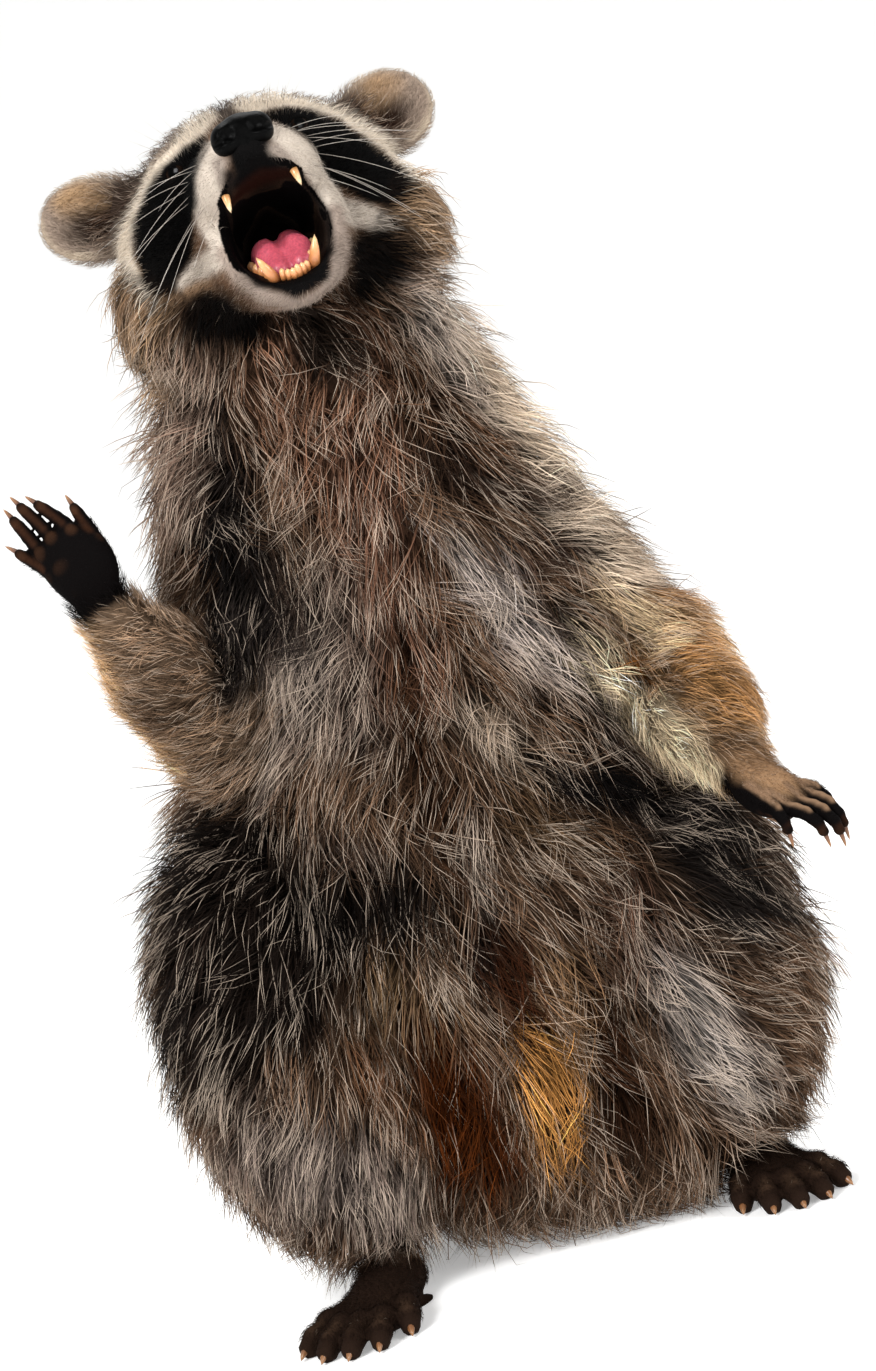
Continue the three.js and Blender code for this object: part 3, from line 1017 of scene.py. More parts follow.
@dataclass(frozen=True)
class ToothRow:
    """The teeth of one jaw: the front teeth, the canines beside them and the cheek teeth.

    Attributes:
        name: The piece's name.
        frame: The jaw's frame.
        front: How far ahead the front teeth stand.
        half: Half the width between the canines.
        back: How far ahead the last cheek tooth stands.
        level: The gum's height.
        edge: 1 where the teeth point up, -1 where they point down.
        canine: How far the canines stand past the gum's level.
        flare: How far the canines' tips lean out.
        incisor: How far the front teeth stand past it. Under 0 they stay in the gum.
        cheek: The same for the cheek teeth.
        thick: The canines' radius.
    """

    CANINE = 0.25  # the canines' share of the row
    CURVE = 7  # how far behind the front teeth the canines stand
    SPREAD = 6  # how much further out the last cheek teeth stand than the canines

    name: str
    frame: Frame
    front: float
    half: float
    back: float
    level: float
    edge: int
    canine: float
    flare: float
    incisor: float
    cheek: float
    thick: float

    def _arch(self, share: float) -> tuple[float, float]:
        """A place along the row.

        Args:
            share: 0 at the front, 1 at the last cheek tooth.

        Returns:
            How far ahead it is, and half the row's width.
        """
        turn, side, rest = min(share / self.CANINE, 1), max(share - self.CANINE, 0), 1 - self.CANINE
        forward = self.front - self.CURVE * turn**2 - (self.front - self.CURVE - self.back) * side / rest
        return forward, self.half * turn + self.SPREAD * side / rest

    def teeth(self) -> tuple[Array, Array]:
        """The teeth, from inside the gum to their tips.

        Returns:
            Their middle lines and radii.
        """
        rings = 6
        share = np.linspace(0, 1, rings + 1)
        paths, radii = [], []

        def tooth(place: Place, tip: Place, radius: float, blunt: float) -> None:
            """Adds one tooth.

            Args:
                place: Its root.
                tip: Its tip.
                radius: Its radius.
                blunt: How late it tapers.
            """
            root, point = self.frame.at(place), self.frame.at(tip)
            bow = self.frame.direction((-0.12, 0, 0)) * np.linalg.norm(point - root)
            paths.append(root + np.outer(share, point - root) + np.outer(4 * share * (1 - share), -bow))
            radii.append(radius * (1 - share[:-1] ** blunt) ** 0.75 + 0.1)

        low = self.level - self.edge * 2
        for hand in (-1, 1):
            canine_f, canine_w = self._arch(self.CANINE)
            top = self.level + self.edge * self.canine
            tip = (canine_f + 2, hand * (canine_w + self.flare), top)
            tooth((canine_f + 1, hand * canine_w, low), tip, self.thick, 2)
            for k in range(3):
                f, w = self._arch(self.CANINE * (k + 0.5) / 3.4)
                top = self.level + self.edge * (self.incisor + 0.5 * math.sin(5 * k + hand))
                deep = low + self.edge * min(self.incisor, 0)
                tip = (f + 1, hand * w * 0.9 + 0.3 * math.sin(7 * k), top)
                tooth((f, hand * w * 0.86, deep), tip, 1.4, 5)
            for k in range(4):
                f, w = self._arch(0.42 + 0.18 * k)
                top = self.level + self.edge * self.cheek
                tooth((f, hand * w, low), (f, hand * w, top), 2.6, 3)
        return np.array(paths), np.array(radii)


def tooth_rows() -> tuple[ToothRow, ToothRow]:
    """The rows of teeth.

    Returns:
        The upper and the lower row.
    """
    upper = ToothRow(
        "teeth_upper", HEAD, front=40, half=15, back=4, level=-28.5, edge=-1,
        canine=9.0, flare=0.8, incisor=-8.0, cheek=-3.0, thick=1.8,
    )
    lower = ToothRow(
        "teeth_lower", JAW, front=71, half=8.2, back=34, level=1.0, edge=1,
        canine=11.0, flare=5.0, incisor=3.2, cheek=4.0, thick=2.5,
    )
    return upper, lower


# ---- Markings ----


def linear(code: str) -> Array:
    """The linear red, green and blue of an sRGB hex colour."""
    value = np.array([int(code[k : k + 2], 16) for k in (1, 3, 5)]) / 255
    return np.where(value <= 0.04045, value / 12.92, ((value + 0.055) / 1.055) ** 2.4)


@dataclass(frozen=True)
class Mark:
    """A patch of colour, soft at its edge. Grizzle is the share of its hairs with pale tips."""

    shapes: tuple[Shape, ...]
    colour: str
    edge: float
    grizzle: float = 0.0
    past: float = 0.0

    def weight(self, points: Array) -> Array:
        """How far the patch covers each point, from 0 to 1."""
        gap = np.min([shape.distance(points) for shape in self.shapes], axis=0)
        return smooth(0.5 - (gap - self.past) / self.edge)


def waver(points: Array, size: float, seed: int) -> Array:
    """A smooth random value at each point.

    Args:
        points: (n, 3) places.
        size: How far across its swells are.
        seed: What it is drawn from.

    Returns:
        Values of about -1 to 1.
    """
    rng = np.random.default_rng(seed)
    waves = unit(rng.normal(size=(7, 3))) * rng.uniform(0.6, 1.6, (7, 1)) * (2 * math.pi / size / 1.3)
    return np.sin(points @ waves.T + rng.uniform(0, 2 * math.pi, 7)).sum(-1) / 3.2


class Markings:
    """The colours of skin and coat, with painted shade in some creases and hollows, and how grizzled the coat
    is, at any point.
    """

    GROUND = ("#654d3b", 0.32)  # warm brown, many pale tips
    FRONT = -20  # the trunk's strokes cover all that is in front of this
    FOREARM = 10  # and the forearms' all in front of this

    def __init__(self) -> None:
        """Lists the marks, the later ones over the earlier."""
        self.marks = [*self._body(), *self._limbs(), *self._tail(), *self._head(), *self._face()]

    @staticmethod
    def _body() -> list[Mark]:
        """The trunk and thighs: dark back and sides, brown chest, grey belly, an orange patch below, and
        painted shade between the raised right forearm and the chest, under the left arm and in the crease
        between belly and right thigh.

        Returns:
            The marks.
        """

        tones = (
            ("#8a7263", 0.45, 30, (-77, 401, 22), (-91, 353, 14)),
            ("#e2d2c4", 0.55, 24, (53, 406, 20), (61, 372, 14)),
            ("#7a5844", 0.45, 30, (-14, 396, 34), (-10, 353, 24)),
            ("#dcc7af", 0.5, 16, (60, 386, 10), (77, 334, 12), (90, 290, 10), (96, 268, 9)),
            ("#735240", 0.4, 24, (-12, 348, 20), (-12, 257, 18)),
            ("#66564c", 0.5, 20, (-38, 305, 14), (-43, 247, 16)),
            ("#1f1a18", 0.18, 20, (-65, 382, 11), (-69, 334, 17), (-62, 295, 16)),
            # painted shadow: the near-black band between the raised right forearm and the chest
            ("#0c0a0a", 0.04, 10, (-81, 334, 9), (-79, 276, 9), (-91, 242, 8)),
            ("#5f4533", 0.34, 22, (29, 372, 14), (48, 338, 16)),
            ("#33251d", 0.2, 12, (19, 353, 6), (43, 329, 7), (72, 319, 8)),
            ("#3a2c25", 0.2, 12, (29, 290, 5), (60, 297, 7), (77, 295, 7)),
            ("#b3a69e", 0.75, 14, (24, 310, 6), (43, 266, 12), (58, 242, 8)),
            ("#322a26", 0.2, 12, (65, 268, 6), (67, 223, 7), (71, 205, 5)),
            ("#3b2618", 0.2, 12, (-14, 271, 6), (-17, 218, 7), (-10, 170, 7)),
            ("#73665e", 0.6, 20, (-56, 270, 14), (-86, 240, 10)),
            ("#9c8874", 0.55, 14, (12, 236, 9), (29, 215, 10)),
            # painted shade: the dark crease at the right waist, between belly and thigh
            ("#140f0c", 0.16, 20, (-139, 216, 10), (-96, 207, 20), (-91, 175, 24), (-40, 168, 20)),
            ("#54463e", 0.5, 8, (-75, 201, 3), (-43, 195, 4)),
            # painted shade under the left arm
            ("#0d0a09", 0.04, 12, (38, 205, 8), (60, 195, 13), (77, 182, 9)),
            ("#57422e", 0.35, 16, (24, 188, 12), (48, 172, 9)),
            ("#8f7f72", 0.55, 8, (-3, 188, 5), (-3, 153, 5)),
            ("#1e140f", 0.08, 12, (-10, 147, 9), (-12, 130, 8)),
            ("#7f6448", 0.35, 16, (-58, 132, 12), (-31, 118, 10)),
            ("#1b1410", 0.2, 24, (-127, 188, 28), (-138, 130, 30), (-101, 146, 28)),
            ("#82736a", 0.55, 26, (-123, 80, 20), (-91, 53, 22), (-77, 41, 14)),
            ("#6a4a34", 0.3, 16, (-72, 105, 10), (-60, 74, 10)),
            ("#4c2409", 0.06, 14, (-40, 92, 14), (-36, 50, 20)),
            ("#8a6a4c", 0.25, 12, (23, 128, 9), (21, 84, 6)),
            ("#361c0e", 0.05, 9, (2, 136, 9), (0, 107, 11)),
            ("#d29450", 0.08, 9, (8, 96, 5), (3, 78, 11), (-1, 50, 10)),
            ("#3a2416", 0.12, 14, (33, 98, 10), (32, 50, 15)),
            ("#5d4436", 0.35, 18, (60, 144, 12), (48, 115, 9)),
            ("#4d382a", 0.3, 14, (58, 166, 10)),
            ("#241f1c", 0.2, 22, (94, 170, 21), (109, 127, 22)),
            ("#aba098", 0.7, 22, (71, 108, 12), (77, 74, 16), (86, 50, 10)),
        )
        marks = [Mark((Lump(BODY, (-120, MID, 230), (88, 92, 260)),), "#3d322b", 60, 0.3)]
        for colour, grizzle, edge, *points in tones:
            marks.append(Mark((Stroke(tuple(points), BODY, Markings.FRONT),), colour, edge, grizzle))
        return marks

    @staticmethod
    def _limbs() -> list[Mark]:
        """The forearms: golden, with painted shadow on the inside of the right one, where it faces the chest,
        and a cream inside on the left one. And the paws.

        Returns:
            The marks.
        """
        marks = []
        for side, hand in SIDES:
            row = LIMBS[side]
            right = hand < 0
            elbow, wrist = BODY.at(row["elbow"]), BODY.at(row["wrist"])
            marks.append(Mark((Bone(elbow, wrist, (28, 18)),), "#a78a70" if right else "#a9845c", 14, 0.3))
            outer = BODY.direction((0, hand * 26, 0))
            marks.append(Mark((Bone(elbow + outer, wrist + outer * 0.5, (17, 9)),), "#dcb487", 12, 0.25))
        inner = (
            # painted shadow on the right forearm's inside, where it faces the chest
            ("#2a2421", 0.12, 12, ((-82, 305, 10), (-86, 278, 9))),
            ("#f6dfba", 0.05, 12, ((72, 248, 7), (86, 219, 11), (101, 194, 9))),
            ("#eccfa6", 0.2, 12, ((92, 266, 9), (103, 250, 8))),
            ("#b98a58", 0.2, 14, ((112, 238, 9), (124, 214, 10))),
            ("#6e4520", 0.1, 7, ((81, 245, 4), (90, 232, 4))),
        )
        for colour, grizzle, edge, points in inner:
            marks.append(Mark((Stroke(points, BODY, Markings.FOREARM),), colour, edge, grizzle))
        for paw in paws():
            marks += Markings._paw(paw)
        return marks

    @staticmethod
    def _paw(paw: Paw) -> list[Mark]:
        """Black skin and brown-black hair, tan on the back of the left hand, with browner pads, darker ridges
        on the left hand, and lighter ridges along the toes that are painted highlight.

        Args:
            paw: The hand or foot.

        Returns:
            The marks.
        """
        digits = paw.size.digits
        palm = Lump(paw.frame, (digits[2].ahead * 0.55, 0, 0), (digits[2].ahead * 0.6, 19, 14))
        shapes = [palm, *(bone for digit in digits for bone in paw.digit_bones(digit))]
        marks = [Mark(tuple(shapes), "#070505" if paw.size is HAND else "#221711", 5, 0.0, 4)]
        if paw.name == "hand_left":
            ridges = [Bone(paw.along(d, -1.0, 6), paw.along(d, 0.4, 4.5), (2.0, 1.3)) for d in digits]
            marks.append(Mark((Lump(paw.frame, (6, 0, 9), (26, 15, 8)),), "#8f7053", 10, 0.2))
            marks.append(Mark(tuple(ridges), "#7d634d", 2.5, 0.1, 0.2))
        if paw.size is FOOT:
            # painted highlight: lighter brown along the tops of the toes' ridges
            ridges = [Bone(paw.along(d, -0.8, 6), paw.along(d, 0.8, 4.5), (1.6, 1.8)) for d in digits]
            marks.append(Mark(tuple(ridges), "#4d3a2c", 4, 0.05, 0.6))
        if paw.size is HAND:
            balls = [Bone(paw.along(d, 0.1, -1.6), paw.along(d, 0.9, -1.6), (0.8, 0.8)) for d in digits]
            marks.append(Mark(tuple(balls), "#2d1a10", 3, 0.0, 0.8))
        marks.append(Mark(tuple(paw.pads()), "#432b1c" if paw.size is HAND else "#2c2019", 3, 0.0, -0.4))
        return marks

    @staticmethod
    def _tail() -> list[Mark]:
        """Tan between six dark rings, with a dark tip.

        Returns:
            The marks.
        """
        points = [BODY.at(place) for place in TAIL_PATH]
        marks = [Mark(tuple(bones(points, [36] * len(points))), "#8d7863", 16, 0.3)]
        rings = 6
        steps = np.linspace(0.18, 0.86, rings) * (len(points) - 1)
        for step in steps:
            k = min(int(step), len(points) - 2)
            place = points[k] + (points[k + 1] - points[k]) * (step - k)
            ring = Frame.facing(place, points[k + 1] - points[k], (0, 0, 1))
            marks.append(Mark((Lump(ring, (0, 0, 0), (9, 60, 60)),), "#2a221d", 9, 0.1))
        tip = Frame.facing(points[-1], points[-1] - points[-2], (0, 0, 1))
        marks.append(Mark((Lump(tip, (6, 0, 0), (22, 60, 60)),), "#241d19", 10, 0.05))
        return marks

    @staticmethod
    def _head() -> list[Mark]:
        """The back of the head, the cheeks, the throat and the ears.

        Returns:
            The marks.
        """
        skull = (Lump(HEAD, (-60, 0, 14), (60, 62, 34)), Lump(HEAD, (-80, 0, -10), (50, 60, 60)))
        marks = [Mark(skull, "#54473e", 22, 0.35)]
        for hand, low in ((-1, -60), (1, -64)):
            cheek = Stroke(((hand * 62, -34, 12), (hand * 74, low, 14)))
            marks.append(Mark((cheek,), "#9c7f62", 14, 0.35))
            tan = Lump(HEAD, (-60, hand * 70, -40), (34, 24, 34))
            marks.append(Mark((tan,), "#967c63", 16, 0.35))
        for side, hand in SIDES:
            ear = ear_frame(side, hand)
            marks.append(Mark((Lump(ear, (18, 0, 0), (30, 27, 14)),), "#8f7e70", 5, 0.2))
            fringe = Bone(HEAD.at((-46, EAR_MIDDLE + hand * 50, 4)), ear.at((4, 0, 0)), (15, 15))
            marks.append(Mark((fringe,), "#54443a", 8, 0.4))
            rim = [ear.at((17 + 24 * math.cos(t), 19.5 * math.sin(t), -3)) for t in np.linspace(-2, 2, 12)]
            marks.append(Mark((Lump(ear, (20, hand * -6, -6), (13, 9, 8)),), "#a98a68", 9, 0.2))
            # painted shade: dark brown deep in each ear's cup, near the head
            marks.append(Mark((Lump(ear, (12, hand * 4, -5), (15, 9, 9)),), "#2a1910", 9, 0.05))
            marks.append(Mark(tuple(bones(rim, [2.0] * 12)), "#cdbca6", 4))
        return marks

    @staticmethod
    def _face() -> list[Mark]:
        """The mask: cream bands, black patches, white ring round the mouth, dark nose bridge and lips.

        Returns:
            The marks.
        """

        def stroke(colour: str, edge: float, grizzle: float, *points: Place) -> Mark:
            """A stroke of colour on the face."""
            return Mark((Stroke(points),), colour, edge, grizzle)

        cream, black, white = "#d9cbb9", "#060606", "#bfb3a6"
        return [
            # the throat's dark patches and the grizzled throat between them
            stroke("#30261f", 12, 0.2, (2, -80, 10), (2, -96, 16)),
            stroke("#0b0908", 12, 0.02, (-44, -56, 8), (-38, -62, 15), (-24, -74, 9)),
            stroke("#0b0908", 12, 0.02, (34, -60, 9), (42, -66, 16), (28, -76, 10)),
            stroke("#8f7258", 6, 0.3, (-34, -46, 2), (-62, -47, 4), (-70, -46, 5)),
            # cream bands over the eyes and down the cheeks
            stroke(cream, 3.5, 0, (-4, 18, 2.5), (-12, 16, 4.5), (-20, 13, 3.5), (-30, 8, 3), (-40, 2, 3),
                   (-50, -6, 3.2), (-58, -14, 3.8), (-63, -24, 4.2), (-63, -36, 4.5), (-60, -48, 4)),
            stroke(cream, 3.5, 0, (8, 18, 2.5), (14, 16, 4.5), (22, 15, 3.5), (30, 11, 3), (40, 5, 3),
                   (50, -2, 3.2), (57, -11, 3.8), (63, -22, 4.2), (67, -34, 4), (69, -44, 3)),
            stroke("#4a4039", 4, 0.2, (2, 12, 3.5), (2, 24, 4)),
            # white ring round the mouth, with a streak to each side
            stroke(white, 5, 0, (-25, -38, 5), (-35, -40, 4.5), (-46, -43, 2)),
            stroke(white, 5, 0, (27, -38, 5), (34, -43, 5.5), (42, -48, 5), (52, -54, 3)),
            stroke(white, 4, 0, (-11, 5, 3.5), (-17, -3, 6.5), (-21, -14, 7), (-23, -26, 5.5),
                   (-23, -38, 4.5)),
            stroke(white, 4, 0, (14, 4, 3.5), (19, -3, 5.5), (25, -14, 6), (28, -26, 6), (28, -38, 5)),
            stroke("#94857a", 5, 0.1, (-23, -38, 4), (-20, -50, 4), (-14, -61, 4), (-3, -69, 4), (9, -69, 4),
                   (19, -63, 4), (24, -52, 4.5), (27, -40, 4)),
            stroke("#5b4d44", 4, 0.1, (-6, -75, 2.5), (8, -75, 2.5)),
            # the mask's patches
            stroke(black, 4, 0, (-12, 9.5, 2), (-20, 6, 5), (-28, 0, 7.5), (-36, -10, 11.5), (-42, -18, 13),
                   (-46, -27, 12.5), (-52, -37, 8)),
            stroke(black, 4, 0, (17, 9.5, 2), (25, 5, 5), (33, -2, 7.5), (40, -12, 10.5), (44, -22, 13),
                   (50, -32, 12), (57, -40, 9), (65, -46, 4)),
            # between nose and lip, the lower lip, the grey of the muzzle pads and the lips at the sides
            stroke("#0b0a0a", 5, 0, (3, 4, 9), (3, -7, 10)),
            stroke("#070606", 4, 0, (-7, -12, 3), (3, -10, 5), (13, -12, 3)),
            stroke("#0b0a0a", 4, 0, (-13, -54, 2), (-2, -61, 4.5), (11, -60, 4.5), (18, -53, 2)),
            stroke("#8d8177", 5, 0.1, (-10, -2, 3), (-12, -9, 2)),
            stroke("#8d8177", 5, 0.1, (13, -5, 3), (17, -12, 2)),
            stroke("#16110f", 4.5, 0, (-8, -8, 2.5), (-14.5, -22, 2), (-17, -42, 2), (-14, -53, 2)),
            stroke("#16110f", 4.5, 0, (14, -14, 2.5), (20, -26, 2), (23.5, -39, 2), (19, -53, 2)),
            # the mouth's lining, near-black for its dark skin and the shadow inside the open mouth, and the
            # palate, dark red-brown with painted shadow
            Mark(tuple(mouth_hollow()), MOUTH_LINING, 5, 0.0, 3.3),
            stroke("#190905", 4, 0, (-12, -19, 1.5), (-6, -16, 2.5), (4, -14.5, 3), (13, -16, 2.5),
                   (18, -19, 1.5)),
        ]

    def colours(self, points: Array) -> tuple[Array, Array]:
        """The coat's colours.

        Args:
            points: (n, 3) places.

        Returns:
            The linear colour (n, 3) and the grizzle (n).
        """
        ground, ticked = self.GROUND
        colour = np.tile(linear(ground), (len(points), 1))
        grizzle = np.full(len(points), ticked)
        wander = np.stack([waver(points, 26, seed) for seed in (1, 2, 3)], -1)
        for mark in self.marks:
            loose = min(mark.edge * 0.16, 5.0)
            weight = mark.weight(points + loose * wander)
            colour += (linear(mark.colour) - colour) * weight[:, None]
            grizzle += (mark.grizzle - grizzle) * weight
        return colour, grizzle


# ---- Meshes ----


def mesh_object(name: str, points: Array, faces: Array) -> Object:
    """A smooth-shaded object from the body's points and faces of one size.

    Args:
        name: The piece's name.
        points: (n, 3) places in the body's millimetres.
        faces: (m, 3) or (m, 4) numbers of points.

    Returns:
        The object, at the origin, with its place in its mesh.
    """
    mesh = bpy.data.meshes.new(name)
    mesh.vertices.add(len(points))
    mesh.vertices.foreach_set("co", ((points + SHIFT) * MM).astype(np.float32).ravel())
    mesh.loops.add(faces.size)
    mesh.loops.foreach_set("vertex_index", faces.astype(np.int32).ravel())
    mesh.polygons.add(len(faces))
    mesh.polygons.foreach_set("loop_start", np.arange(0, faces.size, faces.shape[1], dtype=np.int32))
    mesh.update(calc_edges=True)
    mesh.shade_smooth()
    piece = bpy.data.objects.new(name, mesh)
    bpy.context.scene.collection.objects.link(piece)
    return piece


def set_attribute(piece: Object, name: str, values: Array) -> None:
    """Gives each point of a piece a value that materials read.

    Args:
        piece: The piece.
        name: The value's name.
        values: (n) numbers or (n, 3) colours.
    """
    mesh = piece.data
    if values.ndim == 1:
        mesh.attributes.new(name, "FLOAT", "POINT").data.foreach_set("value", values.astype(np.float32))
        return
    rgba = np.ones((len(values), 4), np.float32)
    rgba[:, :3] = values
    mesh.attributes.new(name, "FLOAT_COLOR", "POINT").data.foreach_set("color", rgba.ravel())


def places(piece: Object) -> Array:
    """The body's places of a piece's points.

    Args:
        piece: The piece.

    Returns:
        (n, 3) places.
    """
    found = np.empty(len(piece.data.vertices) * 3, np.float32)
    piece.data.vertices.foreach_get("co", found)
    return found.reshape(-1, 3) / MM - SHIFT


def swept(paths: Array, radii: Array, sides: int) -> tuple[Array, Array]:
    """Closed tapering rods along many paths at once, each ending in a point.

    Args:
        paths: (n, rings + 1, 3) middle lines, the last place of each being its tip.
        radii: (n, rings) radii.
        sides: How many faces go round each rod.

    Returns:
        The points and the triangles. Each rod has rings * sides + 1 points.
    """
    count, rings = radii.shape
    tangent = np.gradient(paths, axis=1)[:, :-1]
    tangent = unit(tangent)
    guide = np.where(np.abs(tangent[:, :1, 2:3]) < 0.8, (0.0, 0.0, 1.0), (1.0, 0.0, 0.0))
    across = unit(np.cross(guide, tangent))
    over = np.cross(tangent, across)
    turn = np.arange(sides) * 2 * math.pi / sides
    circle = np.cos(turn)[:, None] * across[:, :, None] + np.sin(turn)[:, None] * over[:, :, None]
    ring_points = paths[:, :-1, None] + radii[..., None, None] * circle
    stride = rings * sides + 1
    points = np.concatenate([ring_points.reshape(count, -1, 3), paths[:, -1:]], 1).reshape(-1, 3)
    here = np.arange(sides)
    after = (here + 1) % sides
    template = [[0, k + 1, k] for k in range(1, sides - 1)]
    for ring in range(rings - 1):
        low, high = ring * sides, (ring + 1) * sides
        template += [[low + a, low + b, high + b] for a, b in zip(here, after)]
        template += [[low + a, high + b, high + a] for a, b in zip(here, after)]
    last = (rings - 1) * sides
    template += [[last + a, last + b, rings * sides] for a, b in zip(here, after)]
    faces = (np.array(template)[None] + stride * np.arange(count)[:, None, None]).reshape(-1, 3)
    return points, faces


def rod_shares(rings: int, sides: int) -> Array:
    """How far along its rod each of a swept rod's points is, from 0 to 1."""
    return np.append(np.repeat(np.linspace(0, 1, rings + 1)[:-1], sides), 1.0)


def cell_numbers(cells: Array) -> Array:
    """A number of its own for each (n, 3) cell of a grid."""
    return cells @ np.array([1, 4096, 4096**2])


# ---- Finishes ----


def rgba(code: str) -> tuple[float, ...]:
    """A socket's value for an sRGB hex colour."""
    return (*linear(code), 1.0)


@dataclass(frozen=True)
class Look:
    """A material while its pattern is made, with its nodes and its shader."""

    material: Material
    tree: NodeTree
    shader: Node

    def add(self, kind: str, links: dict | None = None, **settings: object) -> Node:
        """Adds a node.

        Args:
            kind: Its type.
            links: Its inputs' values, or the outputs that they are joined to.
            settings: Its own options.

        Returns:
            The node.
        """
        node = self.tree.nodes.new(kind)
        for name, value in settings.items():
            setattr(node, name, value)
        for name, value in (links or {}).items():
            if isinstance(value, NodeSocket):
                self.tree.links.new(value, node.inputs[name])
            else:
                node.inputs[name].default_value = value
        return node

    def attribute(self, name: str) -> Node:
        """What set_attribute gave the piece under a name."""
        return self.add("ShaderNodeAttribute", attribute_name=name)

    def give(self, output: NodeSocket, socket: str) -> None:
        """Joins an output to a socket of the shader."""
        self.tree.links.new(output, self.shader.inputs[socket])

    def speckle(self, grain: float, detail: float = 4) -> Node:
        """Noise.

        Args:
            grain: How many millimetres across it is.
            detail: How many finer layers it has.

        Returns:
            The noise.
        """
        place = self.add("ShaderNodeTexCoord")
        links = {"Vector": place.outputs["Object"], "Scale": 1 / (grain * MM), "Detail": detail}
        return self.add("ShaderNodeTexNoise", links)

    def ranged(self, source: Node, least: float, most: float) -> NodeSocket:
        """A source's 0 to 1, laid out from least to most."""
        links = {"Value": source.outputs["Fac"], "To Min": least, "To Max": most}
        return self.add("ShaderNodeMapRange", links).outputs["Result"]

    def along(self, noise: Node, stray: float) -> NodeSocket:
        """The piece's Along attribute, moved by noise by up to stray."""
        links = {0: self.attribute("Along").outputs["Fac"], 1: self.ranged(noise, -stray, stray)}
        return self.add("ShaderNodeMath", links, operation="ADD").outputs["Value"]

    def ramped(self, value: NodeSocket, *stops: tuple[float, str]) -> None:
        """Colours the surface by a value.

        Args:
            value: The value.
            stops: The colours, each at its place.
        """
        ramp = self.add("ShaderNodeValToRGB", {"Fac": value})
        elements = ramp.color_ramp.elements
        for element, (position, code) in zip(elements, (stops[0], stops[-1])):
            element.position, element.color = position, rgba(code)
        for position, code in stops[1:-1]:
            elements.new(position).color = rgba(code)
        self.give(ramp.outputs["Color"], "Base Color")

    def marked(self, noise: Node, least: float, most: float) -> None:
        """Colours the surface by the piece's Marks.

        Args:
            noise: What makes them uneven.
            least: The share of their brightness at its lowest.
            most: The share at its highest.
        """
        mix = self.add("ShaderNodeMix", {"Factor": 1.0}, data_type="RGBA", blend_type="MULTIPLY")
        self.tree.links.new(self.attribute("Marks").outputs["Color"], mix.inputs["A"])
        self.tree.links.new(self.ranged(noise, least, most), mix.inputs["B"])
        self.give(mix.outputs["Result"], "Base Color")

    def bumped(self, noise: Node, depth: float) -> None:
        """Raises the surface by noise, by up to depth millimetres."""
        links = {"Height": noise.outputs["Fac"], "Distance": depth * MM, "Strength": 1.0}
        self.give(self.add("ShaderNodeBump", links).outputs["Normal"], "Normal")


@dataclass(frozen=True)
class Finish:
    """A surface: its name and its plain shader values."""

    name: str
    roughness: float
    specular: float = 0.5
    coat: float = 0.0
    subsurface: float = 0.0

    def started(self) -> Look:
        """Starts a material with the shader's own values.

        Returns:
            The material's look, ready for its pattern.
        """
        material = bpy.data.materials.new(self.name)
        material.use_nodes = True
        shader = material.node_tree.nodes["Principled BSDF"]
        values = {
            "Roughness": self.roughness,
            "Specular IOR Level": self.specular,
            "Coat Weight": self.coat,
            "Coat Roughness": 0.08,
            "Subsurface Weight": self.subsurface,
            "Subsurface Radius": (0.004, 0.0015, 0.001),
            "Subsurface Scale": 1.0,
        }
        for name, value in values.items():
            shader.inputs[name].default_value = value
        return Look(material, material.node_tree, shader)


class Fur(Finish):
    """Raccoon hair: matt keratin, dark at its root, partly its own dark base and partly painted shade deep in
    the coat, which gives the coat its depth between the pale tips.
    """

    def material(self) -> Material:
        """The hair's own colours, slightly uneven along it.

        Returns:
            The material.
        """
        look = self.started()
        look.marked(look.speckle(2.5, 2), 0.8, 1.2)
        return look.material


class Hidework(Finish):
    """The skin: dark underfur where the coat is long, fine short hair on the face, and wet black lips."""

    def material(self) -> Material:
        """The markings, with hair-fine streaks and wet or leathery bare parts.

        Returns:
            The material.
        """
        look = self.started()
        nap = look.speckle(0.9)
        look.marked(nap, 0.75, 1.2)
        dry = look.ranged(look.attribute("Bare"), 0.9, 0.55)
        wet = {0: look.attribute("Wet").outputs["Fac"], 1: -0.3}
        sheen = look.add("ShaderNodeMath", wet, operation="MULTIPLY").outputs["Value"]
        rough = look.add("ShaderNodeMath", {0: dry, 1: sheen}, operation="ADD")
        look.give(rough.outputs["Value"], "Roughness")
        look.bumped(nap, 0.5)
        return look.material


class Wet(Finish):
    """A moist part of one colour that varies a little, such as nose leather or a tongue."""

    def material(self, dark: str, light: str, grain: float, depth: float) -> Material:
        """Two colours mottled together.

        Args:
            dark: The low colour.
            light: The high colour.
            grain: How wide the mottling is.
            depth: How high it is.

        Returns:
            The material.
        """
        look = self.started()
        noise = look.speckle(grain)
        look.ramped(noise.outputs["Fac"], (0.32, dark), (0.7, light))
        look.bumped(noise, depth)
        return look.material


class Horn(Finish):
    """Keratin or enamel that changes colour from its root to its tip."""

    def material(self, root: str, middle: str, tip: str, grain: float) -> Material:
        """Three colours along the piece's Along attribute, streaked by noise.

        Args:
            root: The root's colour.
            middle: The colour halfway.
            tip: The tip's colour.
            grain: How wide the streaks are.

        Returns:
            The material.
        """
        look = self.started()
        noise = look.speckle(grain)
        look.ramped(look.along(noise, 0.2), (0, root), (0.5, middle), (1, tip))
        look.bumped(noise, 0.12)
        return look.material


def finished(piece: Object, material: Material) -> Object:
    """Dresses a piece and sets it on the frame.

    Args:
        piece: The piece.
        material: Its finish.

    Returns:
        The piece.
    """
    piece.data.materials.clear()
    piece.data.materials.append(material)
    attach(piece, "root")
    log.info("%s: %d triangles", piece.name, sum(len(p.vertices) - 2 for p in piece.data.polygons))
    return piece


# ---- Sub-assemblies ----


